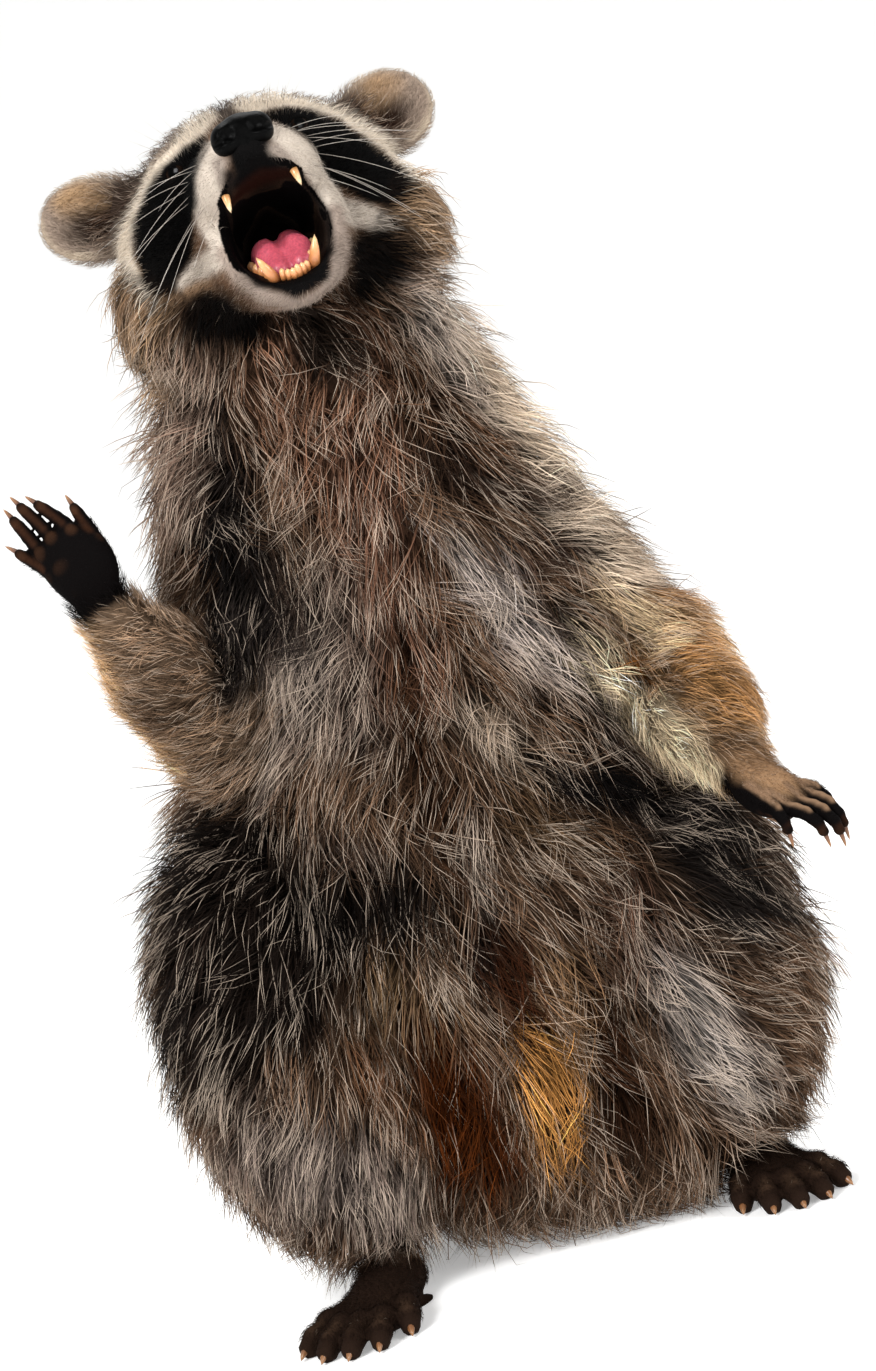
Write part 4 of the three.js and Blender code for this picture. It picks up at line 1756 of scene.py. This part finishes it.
@dataclass
class Skin:
    """The one skin of the whole animal, finest on the face and the hands."""

    hide: Hide
    markings: Markings
    voxel: float = 1.5
    most_triangles: int = 186_000
    face_plate: float = -34.0  # the face is finer in front of this

    FLESH_NODES = ("head", "lower_jaw", "neck", "trunk", "tail")
    SIDE_NODES = ("ear", "hand", "foot", "forearm", "lower_leg", "thigh", "upper_arm")
    HEAD_REACH = 105  # how far from between the eyes the face can be
    LID_REACH = 12  # how far from an eye's centre the lids can be
    UNDERFUR = "#2b211b"

    def build(self) -> Object:
        """Builds, refines and dresses the skin.

        Returns:
            The skin, which stands for the solids of flesh.
        """
        low, high = (np.array(corner) / MM - SHIFT for corner in CAD_BOX)
        points, quads = self.hide.clay.mesh(low - 4, high + 4, self.voxel)
        piece = mesh_object("skin", points, quads)
        self._thinned(piece)
        self._refined(piece)
        self._shaped(piece)
        self._coloured(piece)
        nodes = list(self.FLESH_NODES) + [f"{node}_{side}" for node in self.SIDE_NODES for side, _ in SIDES]
        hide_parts(*nodes)
        finish = Hidework("raccoon skin and underfur", 0.8, specular=0.03)
        return finished(piece, finish.material())

    def _fine(self, points: Array) -> Array:
        """How fine the skin has to be.

        Args:
            points: (n, 3) places.

        Returns:
            0 under the long coat, 1 on the face and hands, 2 at the eyes.
        """
        level = np.zeros(len(points), int)
        forward = HEAD.local(points)[:, 0]
        is_head = np.linalg.norm(points - HEAD.origin, axis=-1) < self.HEAD_REACH
        level[is_head & (forward > self.face_plate)] = 1
        reach = HAND.digits[2].ahead + HAND.digits[2].length + 10
        for paw in paws():
            local = paw.frame.local(points)
            is_paw = (local[:, 0] > 0) & (np.linalg.norm(local, axis=-1) < reach) & (local[:, 2] < 18)
            level[is_paw & (paw.size is HAND)] = 1
        for _, hand in SIDES:
            level[np.linalg.norm(points - eye_frame(hand).origin, axis=-1) < self.LID_REACH] = 2
        return level

    def _thinned(self, piece: Object) -> None:
        """Merges small faces under the long coat.

        Args:
            piece: The skin.
        """
        level = self._fine(places(piece))
        group = piece.vertex_groups.new(name="under coat")
        group.add(np.flatnonzero(level == 0).tolist(), 1.0, "REPLACE")
        fine = (level > 0).mean()
        triangles = 2 * len(piece.data.polygons)
        spare = self.most_triangles - 4.6 * fine * triangles
        select_only(piece)
        thin = piece.modifiers.new("thin", "DECIMATE")
        thin.vertex_group = group.name
        thin.ratio = min(1.0, max(spare, 40_000) / triangles + fine)
        bpy.ops.object.modifier_apply(modifier=thin.name)
        log.info("skin before refining: %d faces", len(piece.data.polygons))

    def _refined(self, piece: Object) -> None:
        """Divides the faces of face, hands and lids.

        Args:
            piece: The skin.
        """
        for least in (1, 2):
            centres = np.empty(len(piece.data.polygons) * 3, np.float32)
            piece.data.polygons.foreach_get("center", centres)
            level = self._fine(centres.reshape(-1, 3) / MM - SHIFT)
            select_only(piece)
            bpy.ops.object.mode_set(mode="EDIT")
            bpy.ops.mesh.select_mode(type="FACE")
            bpy.ops.mesh.select_all(action="DESELECT")
            bpy.ops.object.mode_set(mode="OBJECT")
            piece.data.polygons.foreach_set("select", level >= least)
            bpy.ops.object.mode_set(mode="EDIT")
            bpy.ops.mesh.subdivide(number_cuts=1, quadcorner="INNERVERT")
            bpy.ops.object.mode_set(mode="OBJECT")

    def _shaped(self, piece: Object) -> None:
        """Sets each point on the true surface, and none below the floor.

        Args:
            piece: The skin.
        """
        points = self.hide.clay.settled(places(piece).astype(np.float32), rounds=2)
        points[:, 2] = np.maximum(points[:, 2], 0)
        piece.data.vertices.foreach_set("co", ((points + SHIFT) * MM).astype(np.float32).ravel())
        piece.data.update()
        piece.data.shade_smooth()

    def _coloured(self, piece: Object) -> None:
        """Gives the skin the coat's markings, darker where underfur shows between long hairs.

        Args:
            piece: The skin.
        """
        points = places(piece)
        colour, _ = self.markings.colours(points)
        depth, *_ = self.hide.coat(points)
        under = smooth((depth - 1.5) / 4)[:, None]
        shade = linear(self.UNDERFUR)
        colour = colour * (1 - under) + (0.26 * colour + 0.2 * shade) * under
        inside = self.hide.throat.distance(points)
        _, out = self.hide.clay.slope(points)
        # painted shadow: the mouth's inside takes the lining's near-black, for its dark skin and the shade in
        # the open mouth
        colour[in_mouth(points, out) & (colour.sum(-1) > 0.03)] = linear(MOUTH_LINING)
        set_attribute(piece, "Marks", np.clip(colour, 0, 1))
        set_attribute(piece, "Bare", smooth(1 - depth / 1.4))
        set_attribute(piece, "Wet", smooth(1 - inside / 3))


@dataclass
class Fleece:
    """The coat: thin curved hairs in locks, in one piece for each region."""

    hide: Hide
    markings: Markings
    skin: Object
    patch: float = 0.003  # a hair's share of its piece's map
    lock: float = 8.0  # how far apart the locks of the long coat stand
    pale: str = "#cebba8"  # the tips of grizzled hairs
    seed: int = 7

    QUICK_SPACING = 1.6  # how much further apart hairs stand in a quick build
    BARE_FINGERS = 33  # the hands are bare further than this from the wrist
    WILD = 0.05  # the share of hairs that stand out of their locks

    def build(self) -> list[Object]:
        """Grows every region's hairs.

        Returns:
            A piece for each region.
        """
        triangles, points = self._surface()
        centres = points[triangles].mean(1)
        _, _, _, _, region = self.hide.coat(centres)
        finish = Fur("raccoon guard hair", 0.6, specular=0.04).material()
        pieces = []
        for number, name in enumerate(self.hide.regions):
            pelt = PELTS.get(name, LONG_PELT)
            rng = np.random.default_rng(self.seed + number)
            own = triangles[region == number]
            roots, spots = self._roots(points, own, pelt, rng)
            _, out = self.hide.clay.slope(roots)
            keep = ~self._bare(roots, out)
            pieces.append(self._grown(name, pelt, roots[keep], out[keep], spots[keep], finish, rng))
        return pieces

    def _surface(self) -> tuple[Array, Array]:
        """The skin's triangles and points.

        Returns:
            The triangles, as numbers of points, and the points.
        """
        mesh = self.skin.data
        mesh.calc_loop_triangles()
        found = np.empty(len(mesh.loop_triangles) * 3, np.int32)
        mesh.loop_triangles.foreach_get("vertices", found)
        return found.reshape(-1, 3), places(self.skin)

    def _roots(
        self, points: Array, triangles: Array, pelt: Pelt, rng: np.random.Generator
    ) -> tuple[Array, Array]:
        """Evenly scattered roots.

        Args:
            points: The skin's points.
            triangles: Those that hairs grow on.
            pelt: The region's hairs.
            rng: The random draws.

        Returns:
            The roots, and the place of each on an unwrap of the triangles.
        """
        corners = points[triangles]
        normal = np.cross(corners[:, 1] - corners[:, 0], corners[:, 2] - corners[:, 0])
        area = np.linalg.norm(normal, axis=-1) / 2
        spacing = pelt.spacing * 1
        count = int(2.2 * area.sum() / spacing**2)
        pick = np.sort(rng.choice(len(triangles), count, p=area / area.sum()))
        a, b = rng.random((2, count))
        flip = a + b > 1
        a[flip], b[flip] = 1 - a[flip], 1 - b[flip]
        share = np.stack([1 - a - b, a, b], -1)
        roots = np.einsum("nk,nkd->nd", share, corners[pick])
        order = rng.permutation(count)
        cells = np.floor(roots[order] / spacing).astype(np.int64)
        _, first = np.unique(cell_numbers(cells), return_index=True)
        chosen = order[first]
        spots = np.einsum("nk,nkd->nd", share[chosen], self._unwrapped(points, triangles)[pick[chosen]])
        return roots[chosen], spots

    @staticmethod
    def _unwrapped(points: Array, triangles: Array) -> Array:
        """Unwraps some of the skin.

        Args:
            points: The skin's points.
            triangles: Those to unwrap.

        Returns:
            The places (n, 3, 2) of their corners.
        """
        used, index = np.unique(triangles, return_inverse=True)
        sheet = mesh_object("unwrap", points[used], index.reshape(-1, 3))
        sheet.data.uv_layers.new(name="unwrap")
        select_only(sheet)
        bpy.ops.object.mode_set(mode="EDIT")
        bpy.ops.mesh.select_all(action="SELECT")
        bpy.ops.uv.smart_project(angle_limit=math.radians(70), island_margin=0.004)
        bpy.ops.object.mode_set(mode="OBJECT")
        found = np.empty(len(sheet.data.loops) * 2, np.float32)
        sheet.data.uv_layers["unwrap"].data.foreach_get("uv", found)
        bpy.data.meshes.remove(sheet.data)
        return found.reshape(-1, 3, 2)

    def _bare(self, points: Array, out: Array) -> Array:
        """Where no hair grows: mouth, lids, nose, fingers, toes' ends, palms and soles.

        Args:
            points: (n, 3) places.
            out: The outward directions there.

        Returns:
            True where it is bare.
        """
        bare = in_mouth(points, out)
        for _, hand in SIDES:
            bare |= np.linalg.norm(points - eye_frame(hand).at((3.5, 0, 0)), axis=-1) < EYE - 1.6
        bare |= Nose.clay().distance(points) < 0.6
        for paw in paws():
            local = paw.frame.local(points)
            own = (paw.flesh_distance(points) < 3) & (local[:, 0] > 3)
            bare |= own & (local[:, 2] < (0.5 if paw.size is HAND else 0.1) * paw.size.radius)
            bare |= own & (local[:, 0] > self.BARE_FINGERS) & (paw.size is HAND)
            for digit in paw.size.digits:
                bare |= np.linalg.norm(points - paw.along(digit, 1.05, 0), axis=-1) < 1.3 * paw.size.radius
        return bare

    def _grown(
        self,
        region: Region,
        pelt: Pelt,
        roots: Array,
        out: Array,
        spots: Array,
        finish: Material,
        rng: np.random.Generator,
    ) -> Object:
        """One coat piece: the hairs' paths, their colours and their map.

        Args:
            region: The piece.
            pelt: Its hairs.
            roots: Where they start.
            out: The outward directions there.
            spots: Their places on the unwrap.
            finish: Their material.
            rng: The random draws.

        Returns:
            The piece.
        """
        depth, length, lie, mess, _ = self.hide.coat(roots)
        lock = self._locks(roots, length)
        paths = self._paths(roots, out, depth, length, lie, mess, lock, pelt, rng)
        share = np.linspace(0, 1, pelt.stretches + 1)
        thin = 0.5 * pelt.width * (1 - 0.75 * share[:-1] ** 1.2)
        width = np.clip(length / 22, 0.6, 1.15) * rng.uniform(0.7, 1.25, len(roots))
        points, faces = swept(paths, width[:, None] * thin, 3)
        piece = mesh_object(region.value, points, faces)
        colour = self._tinted(paths, length, lock, share, rng)
        rows = np.append(np.repeat(np.arange(pelt.stretches), 3), pelt.stretches)
        set_attribute(piece, "Marks", colour[:, rows].reshape(-1, 3))
        self._mapped(piece, spots, pelt.stretches)
        return finished(piece, finish)

    def _locks(self, roots: Array, length: Array) -> Array:
        """Gathers near neighbours in locks, more of them where the coat is long.

        Args:
            roots: Where the hairs start.
            length: The coat's length there.

        Returns:
            The number of each hair's lock.
        """
        size = np.clip(self.lock * length / 34, 1.8, self.lock * 1.3)
        band = np.round(np.log2(size) * 2).astype(np.int64)
        size = 2 ** (band / 2)
        drift = np.stack([waver(roots, 22, seed) for seed in (11, 12, 13)], -1)
        cells = np.floor(roots / size[:, None] + 0.35 * drift).astype(np.int64)
        return np.unique(cell_numbers(cells) * 16 + band, return_inverse=True)[1]

    def _paths(
        self,
        roots: Array,
        out: Array,
        depth: Array,
        length: Array,
        lie: Array,
        mess: Array,
        lock: Array,
        pelt: Pelt,
        rng: np.random.Generator,
    ) -> Array:
        """The hairs' middle lines: they lie with the coat, gather in locks and sag.

        Args:
            roots: Where they start.
            out: The outward directions there.
            depth: The coat's depth there.
            length: Its length.
            lie: The direction that it lies in.
            mess: How far hairs stray from that.
            lock: The number of each hair's lock.
            pelt: The region's hairs.
            rng: The random draws.

        Returns:
            (n, stretches + 1, 3) places.
        """
        count, locks = len(roots), lock.max() + 1

        def chance(own: float, shared: float) -> Array:
            """Random values, partly each hair's own.

            Args:
                own: The hair's part.
                shared: Its lock's part.

            Returns:
                A value for each hair.
            """
            each = rng.normal(size=count).clip(-2, 2)
            return own * each + shared * rng.normal(size=locks).clip(-2, 2)[lock]

        long = smooth((length - 8) / 20)
        fan = BODY.direction((0, 1, 0)) * np.clip((roots[:, :1] - MID) / 90, -1, 1)
        below_head = smooth((470 - roots[:, 2]) / 50)[:, None] * long[:, None]
        lie = lie + 0.55 * fan * below_head
        flat = unit(lie - (lie * out).sum(-1, keepdims=True) * out)
        turn = np.radians(mess * (1.1 * waver(roots, 44, self.seed) + chance(0.45, 0.85)))[:, None]
        heading = flat * np.cos(turn) + np.cross(out, flat) * np.sin(turn)
        reach = length * rng.uniform(0.72, 1.1, count) * (1 + chance(0, 0.16))
        rise = depth * rng.uniform(0.5, 1.0, count)
        rise = rise * np.clip(1 + chance(0, 0.26) * (0.3 + 0.7 * long), 0.3, 1.6)
        stray = rng.random(count) < self.WILD
        rise = np.where(stray, rise * 1.35 + 0.6 + 3 * long, rise)
        side = np.cross(out, heading)
        bow = chance(0.2, 0.17) * reach
        share = np.linspace(0, 1, pelt.stretches + 1)
        run = np.sqrt(np.maximum(reach**2 - rise**2, (0.5 * reach) ** 2))
        paths = (
            roots[:, None]
            + (run[:, None] * share)[..., None] * heading[:, None]
            + (bow[:, None] * share**2)[..., None] * side[:, None]
            + (rise[:, None] * share**0.6)[..., None] * out[:, None]
        )
        paths[:, :, 2] -= (0.12 * long * reach)[:, None] * share**2
        sums = [np.bincount(lock, paths[:, k, d], locks) for k in range(1, len(share)) for d in range(3)]
        members = np.bincount(lock, minlength=locks)[:, None]
        middle = (np.stack(sums, -1) / members).reshape(locks, -1, 3)[lock]
        pull = (0.25 + 0.5 * long) * rng.uniform(0.35, 1.1, count) * ~stray
        paths[:, 1:] += (middle - paths[:, 1:]) * (pull[:, None] * share[1:] ** 1.3)[..., None]
        for k in range(1, len(share)):
            level = rise * share[k] ** 0.6 + 0.2
            paths[:, k] = self.hide.clay.settled(paths[:, k], level, rounds=1)
        paths[:, 0] -= 0.4 * out
        paths[:, :, 2] = np.maximum(paths[:, :, 2], 0.5)
        return paths

    def _tinted(
        self, paths: Array, length: Array, lock: Array, share: Array, rng: np.random.Generator
    ) -> Array:
        """The hairs' colours: dark roots, partly their own colour and partly painted shade deep in the coat,
        the marking, and pale, plain or black tips.

        Args:
            paths: Their middle lines.
            length: The coat's length there.
            lock: The number of each hair's lock.
            share: How far along its hair each place is.
            rng: The random draws.

        Returns:
            (n, stretches + 1, 3) linear colours.
        """
        count, locks = len(length), lock.max() + 1
        long = smooth((length - 5) / 18)
        roots, tips = paths[:, 0], paths[:, -1]
        colour, grizzle = self.markings.colours(roots + 0.62 * (tips - roots))
        swell = 0.1 * waver(roots, 22, 5) + 0.3 * long * rng.normal(size=locks).clip(-2, 2)[lock]
        colour = colour * np.exp(swell + (0.08 + 0.12 * long) * rng.normal(size=count))[:, None]
        chance = rng.random(count) * np.exp(0.75 * rng.normal(size=locks)[lock] * long)
        tip = colour * 1.1
        tip = np.where((chance < grizzle)[:, None], 0.25 * colour + 0.75 * linear(self.pale), tip)
        sooty = 0.25 * long * (1 - smooth((colour.mean(-1) - 0.22) / 0.25))
        tip = np.where((chance > 1.0 - sooty)[:, None], 0.2 * colour, tip)
        # painted shade: long hairs darken towards their roots, partly their own dark base and partly the shade
        # deep in the coat
        low = (0.8 - 0.6 * long)[:, None]
        shade = low + (1 - low) * smooth(share / 0.5)
        end = smooth((share - 0.3) / 0.55)
        blend = colour[:, None] + (tip - colour)[:, None] * end[:, None]
        return np.clip(blend * shade[..., None], 0, 1)

    def _mapped(self, piece: Object, spots: Array, stretches: int) -> None:
        """Lays each hair's faces side by side in a patch at its root's place on the unwrap.

        Args:
            piece: The coat piece.
            spots: The roots' places.
            stretches: How many each hair has.
        """
        columns, rows = 3, stretches
        cell = np.array([self.patch / columns, self.patch / (rows + 1)])
        template = [[(0, 0), (1, 0), (0.5, 1)]]
        for row in range(rows - 1):
            template += [[(c, row + 1), (c + 1, row + 1), (c + 1, row + 2)] for c in range(columns)]
            template += [[(c, row + 1), (c + 1, row + 2), (c, row + 2)] for c in range(columns)]
        template += [[(c, rows), (c + 1, rows), (c + 0.5, rows + 1)] for c in range(columns)]
        patch = np.array(template) * cell - self.patch / 2
        centre = np.clip(spots, self.patch / 2, 1 - self.patch / 2)
        uv = (centre[:, None, None] + patch[None]).astype(np.float32)
        piece.data.uv_layers.new(name="OFBake").data.foreach_set("uv", uv.ravel())


@dataclass
class Nose:
    """The nose leather: a broad pad with comma-shaped nostrils and a groove down its middle."""

    voxel: float = 0.45

    @staticmethod
    def clay() -> Clay:
        """The pad and its nostrils.

        Returns:
            The nose's shape.
        """
        pad = [
            (Lump(HEAD, (46, 0, -10), (10, 10, 7.5)), 5),
            (Lump(HEAD, (45, 0, -17), (8, 4, 5)), 4),
        ]
        holes = [(Bone(HEAD.at((61, 0, -6)), HEAD.at((54, 0, -24)), (1.0, 1.0)), 1.8)]
        for hand in (-1, 1):
            pad.append((Lump(HEAD, (50, hand * 7.6, -12.5), (7, 5.8, 6.8)), 3))
            pad.append((Lump(HEAD, (46, hand * 9, -13.5), (6, 3, 4.4)), 3))
            nostril = [HEAD.at((58, hand * x, z)) for x, z in ((4.4, -9.8), (6.2, -13.0), (9.6, -15.0))]
            holes += [(bone, 1.2) for bone in bones(nostril, (2.1, 3.7, 2.2))]
            slit = bones([HEAD.at((56.5, hand * 9.6, -15.0)), HEAD.at((50, hand * 14.5, -13.5))], (1.5, 0.8))
            holes += [(bone, 1.2) for bone in slit]
        return Clay(pad, holes)

    def build(self) -> Object:
        """Builds and dresses the nose.

        Returns:
            The nose, which stands for the nose solid.
        """
        middle = HEAD.at((48, 0, -13))
        points, quads = self.clay().mesh(middle - 20, middle + 20, self.voxel)
        piece = mesh_object("nose_leather", points, quads)
        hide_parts("nose")
        # Bare, pebbled black leather that stays moist: small soft glints over near-black.
        material = Wet("moist nose leather", 0.4, specular=0.04).material("#000000", "#030303", 0.8, 0.1)
        return finished(piece, material)


@dataclass
class Tongue:
    """The tongue, humped in the open jaw, with a groove that parts it into two lobes."""

    voxel: float = 0.8

    def build(self) -> Object:
        """Builds and dresses the tongue.

        Returns:
            The tongue, which stands for the tongue solid.
        """
        stations = ((12, 0, -1), (30, 0, 3), (46, 0, 4), (58, 0, 1))
        flesh: list[Worked] = []
        for hand in (-1, 1):
            spine = [JAW.at((f, hand * 5.0, u)) for f, _, u in stations]
            flesh += [(bone, 2.5) for bone in bones(spine, (5.5, 7, 7, 4.8))]
        groove = bones([JAW.at((f, 0, u + 7)) for f, _, u in stations], (0.9, 1.2, 1.3, 1.6))
        clay = Clay(flesh, [(bone, 3) for bone in groove])
        middle = JAW.at((36, 0, 4))
        points, quads = clay.mesh(middle - 38, middle + 38, self.voxel)
        piece = mesh_object("tongue_flesh", points, quads)
        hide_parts("tongue")
        # Wet flesh: light goes a little way in, and fine papillae break the shine.
        finish = Wet("wet tongue", 0.42, coat=0.15, subsurface=0.25)
        return finished(piece, finish.material("#a33f50", "#c95a69", 1.1, 0.3))


@dataclass
class Teeth:
    """Both rows of teeth."""

    def build(self) -> list[Object]:
        """Builds and dresses the teeth.

        Returns:
            A piece for each jaw.
        """
        pieces = []
        for row in tooth_rows():
            paths, radii = row.teeth()
            points, faces = swept(paths, radii, 12)
            piece = mesh_object(row.name, points, faces)
            set_attribute(piece, "Along", np.tile(rod_shares(radii.shape[1], 12), len(paths)))
            # Enamel, stained amber at the neck and creamier at the tip.
            colours = ("#70401f", "#c98450", "#e9c08c") if row.edge > 0 else ("#8a5a30", "#c89560", "#e6cba3")
            material = Horn(f"{row.name} enamel", 0.28, coat=0.3, subsurface=0.1).material(*colours, 2.0)
            pieces.append(finished(piece, material))
        return pieces


@dataclass
class Claws:
    """Every claw, one piece for each claw solid."""

    def build(self) -> list[Object]:
        """Builds and dresses the claws.

        Returns:
            The claws, each standing for its own solid.
        """
        # Horn: dark brown at the root, translucent amber towards the point.
        material = Horn("claw horn", 0.35, coat=0.2).material("#150c07", "#5a3319", "#94683f", 1.6)
        pieces = []
        for paw in paws():
            paths, radii = paw.claws()
            for number, (path, radius) in enumerate(zip(paths, radii), 1):
                points, faces = swept(path[None], radius[None], 10)
                name = f"claw_{paw.name}_{number}"
                piece = mesh_object(name.replace("claw_", "horn_"), points, faces)
                set_attribute(piece, "Along", rod_shares(len(radius), 10))
                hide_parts(name)
                pieces.append(finished(piece, material))
        return pieces


@dataclass
class Eyes:
    """The eyeballs, with a clear bulge over the iris."""

    def build(self) -> list[Object]:
        """Builds and dresses both eyes.

        Returns:
            The eyes, each standing for its solid.
        """
        pieces = []
        for side, hand in SIDES:
            eye = eye_frame(hand)
            bpy.ops.object.select_all(action="DESELECT")
            bpy.ops.mesh.primitive_uv_sphere_add(segments=48, ring_count=32, radius=EYE)
            ball = bpy.context.object
            bare = np.empty(len(ball.data.vertices) * 3, np.float32)
            ball.data.vertices.foreach_get("co", bare)
            bare = bare.reshape(-1, 3)[:, [2, 0, 1]].astype(float)
            turn = np.arccos(np.clip(bare[:, 0] / EYE, -1, 1))
            bulge = 1 + 0.06 * smooth((math.radians(46) - turn) / math.radians(20))
            points = eye.at((0, 0, 0)) + (bare * bulge[:, None]) @ eye.axes
            ball.name = ball.data.name = f"eyeball_{side}"
            ball.data.vertices.foreach_set("co", ((points + SHIFT) * MM).astype(np.float32).ravel())
            ball.data.update()
            ball.data.shade_smooth()
            set_attribute(ball, "Along", np.degrees(turn) / 90)
            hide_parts(f"eye_{side}")
            pieces.append(finished(ball, self._material(side)))
        return pieces

    @staticmethod
    def _material(side: str) -> Material:
        """A wet dark eye: black pupil, deep brown iris and a darker rim under a glassy film.

        Args:
            side: The side's name.

        Returns:
            The material.
        """
        look = Finish(f"wet eye {side}", 0.15, specular=0.08, coat=0.02).started()
        pupil = ((0, "#010101"), (0.2, "#010101"))
        iris = ((0.25, "#160b05"), (0.42, "#0e0704"))
        rim = ((0.5, "#040303"), (1, "#050404"))
        look.ramped(look.along(look.speckle(1.2), 0.03), *pupil, *iris, *rim)
        return look.material


@dataclass
class Whiskers:
    """The long stiff hairs of the muzzle pads and over the eyes."""

    hide: Hide
    radius: float = 0.12
    ceiling: float = 537.0  # no whisker stands higher than this
    seed: int = 31

    def build(self) -> Object:
        """Builds and dresses the whiskers.

        Returns:
            All whiskers in one piece.
        """
        rng = np.random.default_rng(self.seed)
        paths, radii = [], []
        rings = 9
        share = np.linspace(0, 1, rings + 1)

        def hair(root: Place, aim: Place, length: float, droop: float, radius: float) -> None:
            """Adds one whisker.

            Args:
                root: Where it leaves the head.
                aim: Where it points.
                length: Its length.
                droop: How far it sags.
                radius: Its radius.
            """
            start = self.hide.clay.settled(HEAD.at(root)[None], 0.0, rounds=4)[0]
            ahead = unit(HEAD.direction(aim))
            sag = HEAD.direction((-0.35, 0, -1)) * droop * length
            path = start + np.outer(share * length, ahead) + np.outer(share**2, sag)
            high = max(path[:, 2].max() - start[2], 1e-6)
            path = start + (path - start) * min(1.0, max(self.ceiling - start[2], 0) / high)
            paths.append(path)
            radii.append(radius * (1 - 0.8 * share[:-1]))

        for hand in (-1, 1):
            for row in range(3):
                for column in range(4):
                    root = (30 - 5 * column - row, hand * (17 + 2.5 * column), -15 - 4 * row)
                    slope = 0.15 - 0.38 * row + 0.14 * rng.normal()
                    aim = (-0.25 - 0.1 * column + 0.08 * rng.normal(), hand, slope)
                    length = (28 + 9 * column) * rng.uniform(0.8, 1.15)
                    hair(root, aim, length, 0.1 + 0.16 * rng.random(), self.radius)
            for k in range(4):
                root = (-4 - 2 * k, hand * (19 + 3 * k), 12)
                hair(root, (0.3, hand * (0.45 + 0.25 * k), 1), 30 + 6 * rng.random(), -0.05, 0.1)
        points, faces = swept(np.array(paths), np.array(radii), 4)
        piece = mesh_object("whiskers", points, faces)
        set_attribute(piece, "Along", np.tile(rod_shares(rings, 4), len(paths)))
        # Stiff keratin, nearly white, a little brown where it leaves the skin.
        material = Horn("whisker keratin", 0.4).material("#6f655c", "#c9bfb4", "#e3dcd4", 4.0)
        return finished(piece, material)


# ---- Studio ----


def select_only(piece: Object) -> None:
    """Makes a piece the only selected and the active object.

    Args:
        piece: The piece.
    """
    bpy.ops.object.select_all(action="DESELECT")
    piece.select_set(True)
    bpy.context.view_layer.objects.active = piece


@dataclass
class Studio:
    """A pale sweep, soft lamps and the camera."""

    eye: Place = (0.0, -1700.0, 420.0)
    target: Place = (0.0, 0.0, 253.0)
    roll: float = 15.0  # degrees that the picture is turned, which makes the animal lean to the right
    lens: float = 100.9
    sensor: float = 36.0

    def build(self) -> None:
        """Sets up everything that isn't the animal."""
        self._camera()
        self._sweep()
        self._lamps()

    def _camera(self) -> None:
        """The camera, a little above the floor's level view and turned about its axis."""
        eye = (np.array(self.eye) + SHIFT) * MM
        ahead = unit((np.array(self.target) + SHIFT) * MM - eye)
        right = unit(np.cross(ahead, (0, 0, 1)))
        up = np.cross(right, ahead)
        turn = math.radians(self.roll)
        across = right * math.cos(turn) - up * math.sin(turn)
        over = right * math.sin(turn) + up * math.cos(turn)
        data = bpy.data.cameras.new("camera")
        data.lens, data.sensor_width = self.lens, self.sensor
        data.clip_end = 50
        camera = bpy.data.objects.new("camera", data)
        matrix = np.eye(4)
        matrix[:3, 0], matrix[:3, 1], matrix[:3, 2], matrix[:3, 3] = across, over, -ahead, eye
        camera.matrix_world = Matrix(matrix)
        bpy.context.scene.collection.objects.link(camera)
        bpy.context.scene.camera = camera

    @staticmethod
    def _sweep() -> None:
        """A floor that curves up into a backdrop behind the animal."""
        bpy.ops.object.select_all(action="DESELECT")
        bpy.ops.mesh.primitive_plane_add(size=1)
        sweep = bpy.context.object
        sweep.name = "sweep"
        half, depth, height, bend = 8.0, 1.6, 7.0, 2.6
        profile = [(-6.0, 0.0)]
        profile += [
            (depth + bend * math.sin(t), bend * (1 - math.cos(t))) for t in np.linspace(0, math.pi / 2, 17)
        ]
        profile.append((depth + bend, height))
        mesh = bpy.data.meshes.new("sweep")
        points = [(x, y, z) for y, z in profile for x in (-half, half)]
        faces = [(2 * k, 2 * k + 1, 2 * k + 3, 2 * k + 2) for k in range(len(profile) - 1)]
        mesh.from_pydata(points, [], faces)
        mesh.shade_smooth()
        sweep.data = mesh
        look = Finish("matt paper", 0.95, specular=0.1).started()
        look.ramped(look.speckle(120).outputs["Fac"], (0, "#f2f2f1"), (1, "#f6f6f5"))
        look.shader.inputs["Emission Color"].default_value = (1, 1, 1, 1)
        look.shader.inputs["Emission Strength"].default_value = 0.3
        mesh.materials.append(look.material)

    @staticmethod
    def _lamps() -> None:
        """Large soft lamps round the animal, and an even white surround."""
        lamps = (
            ("key", (-1.3, -2.0, 1.8), 1.0, 80.0),
            ("fill", (2.0, -1.5, 1.2), 1.2, 36.0),
            ("top", (0.2, 0.7, 2.2), 1.2, 30.0),
            ("low", (0.0, -2.2, 0.4), 1.4, 8.0),
        )
        for name, place, size, power in lamps:
            data = bpy.data.lights.new(name, "AREA")
            data.energy, data.size = power, size
            lamp = bpy.data.objects.new(name, data)
            lamp.location = place
            ahead = unit(np.array((0, 0, 0.28)) - np.array(place))
            right = unit(np.cross(ahead, (0, 0, 1)))
            matrix = np.eye(4)
            matrix[:3, 0], matrix[:3, 1], matrix[:3, 2] = right, np.cross(right, ahead), -ahead
            matrix[:3, 3] = place
            lamp.matrix_world = Matrix(matrix)
            bpy.context.scene.collection.objects.link(lamp)
        world = bpy.data.worlds.new("surround")
        world.use_nodes = True
        world.node_tree.nodes["Background"].inputs["Color"].default_value = (1, 1, 1, 1)
        world.node_tree.nodes["Background"].inputs["Strength"].default_value = 0.34
        bpy.context.scene.world = world
        bpy.context.scene.view_settings.view_transform = "Standard"


def main() -> None:
    """Builds the studio, the skin and everything on it."""
    logging.basicConfig(level=logging.INFO, format="%(name)s: %(message)s")
    Studio().build()
    hide, markings = Hide(), Markings()
    skin = Skin(hide, markings).build()
    Fleece(hide, markings, skin).build()
    Nose().build()
    Tongue().build()
    Teeth().build()
    Claws().build()
    Eyes().build()
    Whiskers(hide).build()


if __name__ == "__main__":
    main()
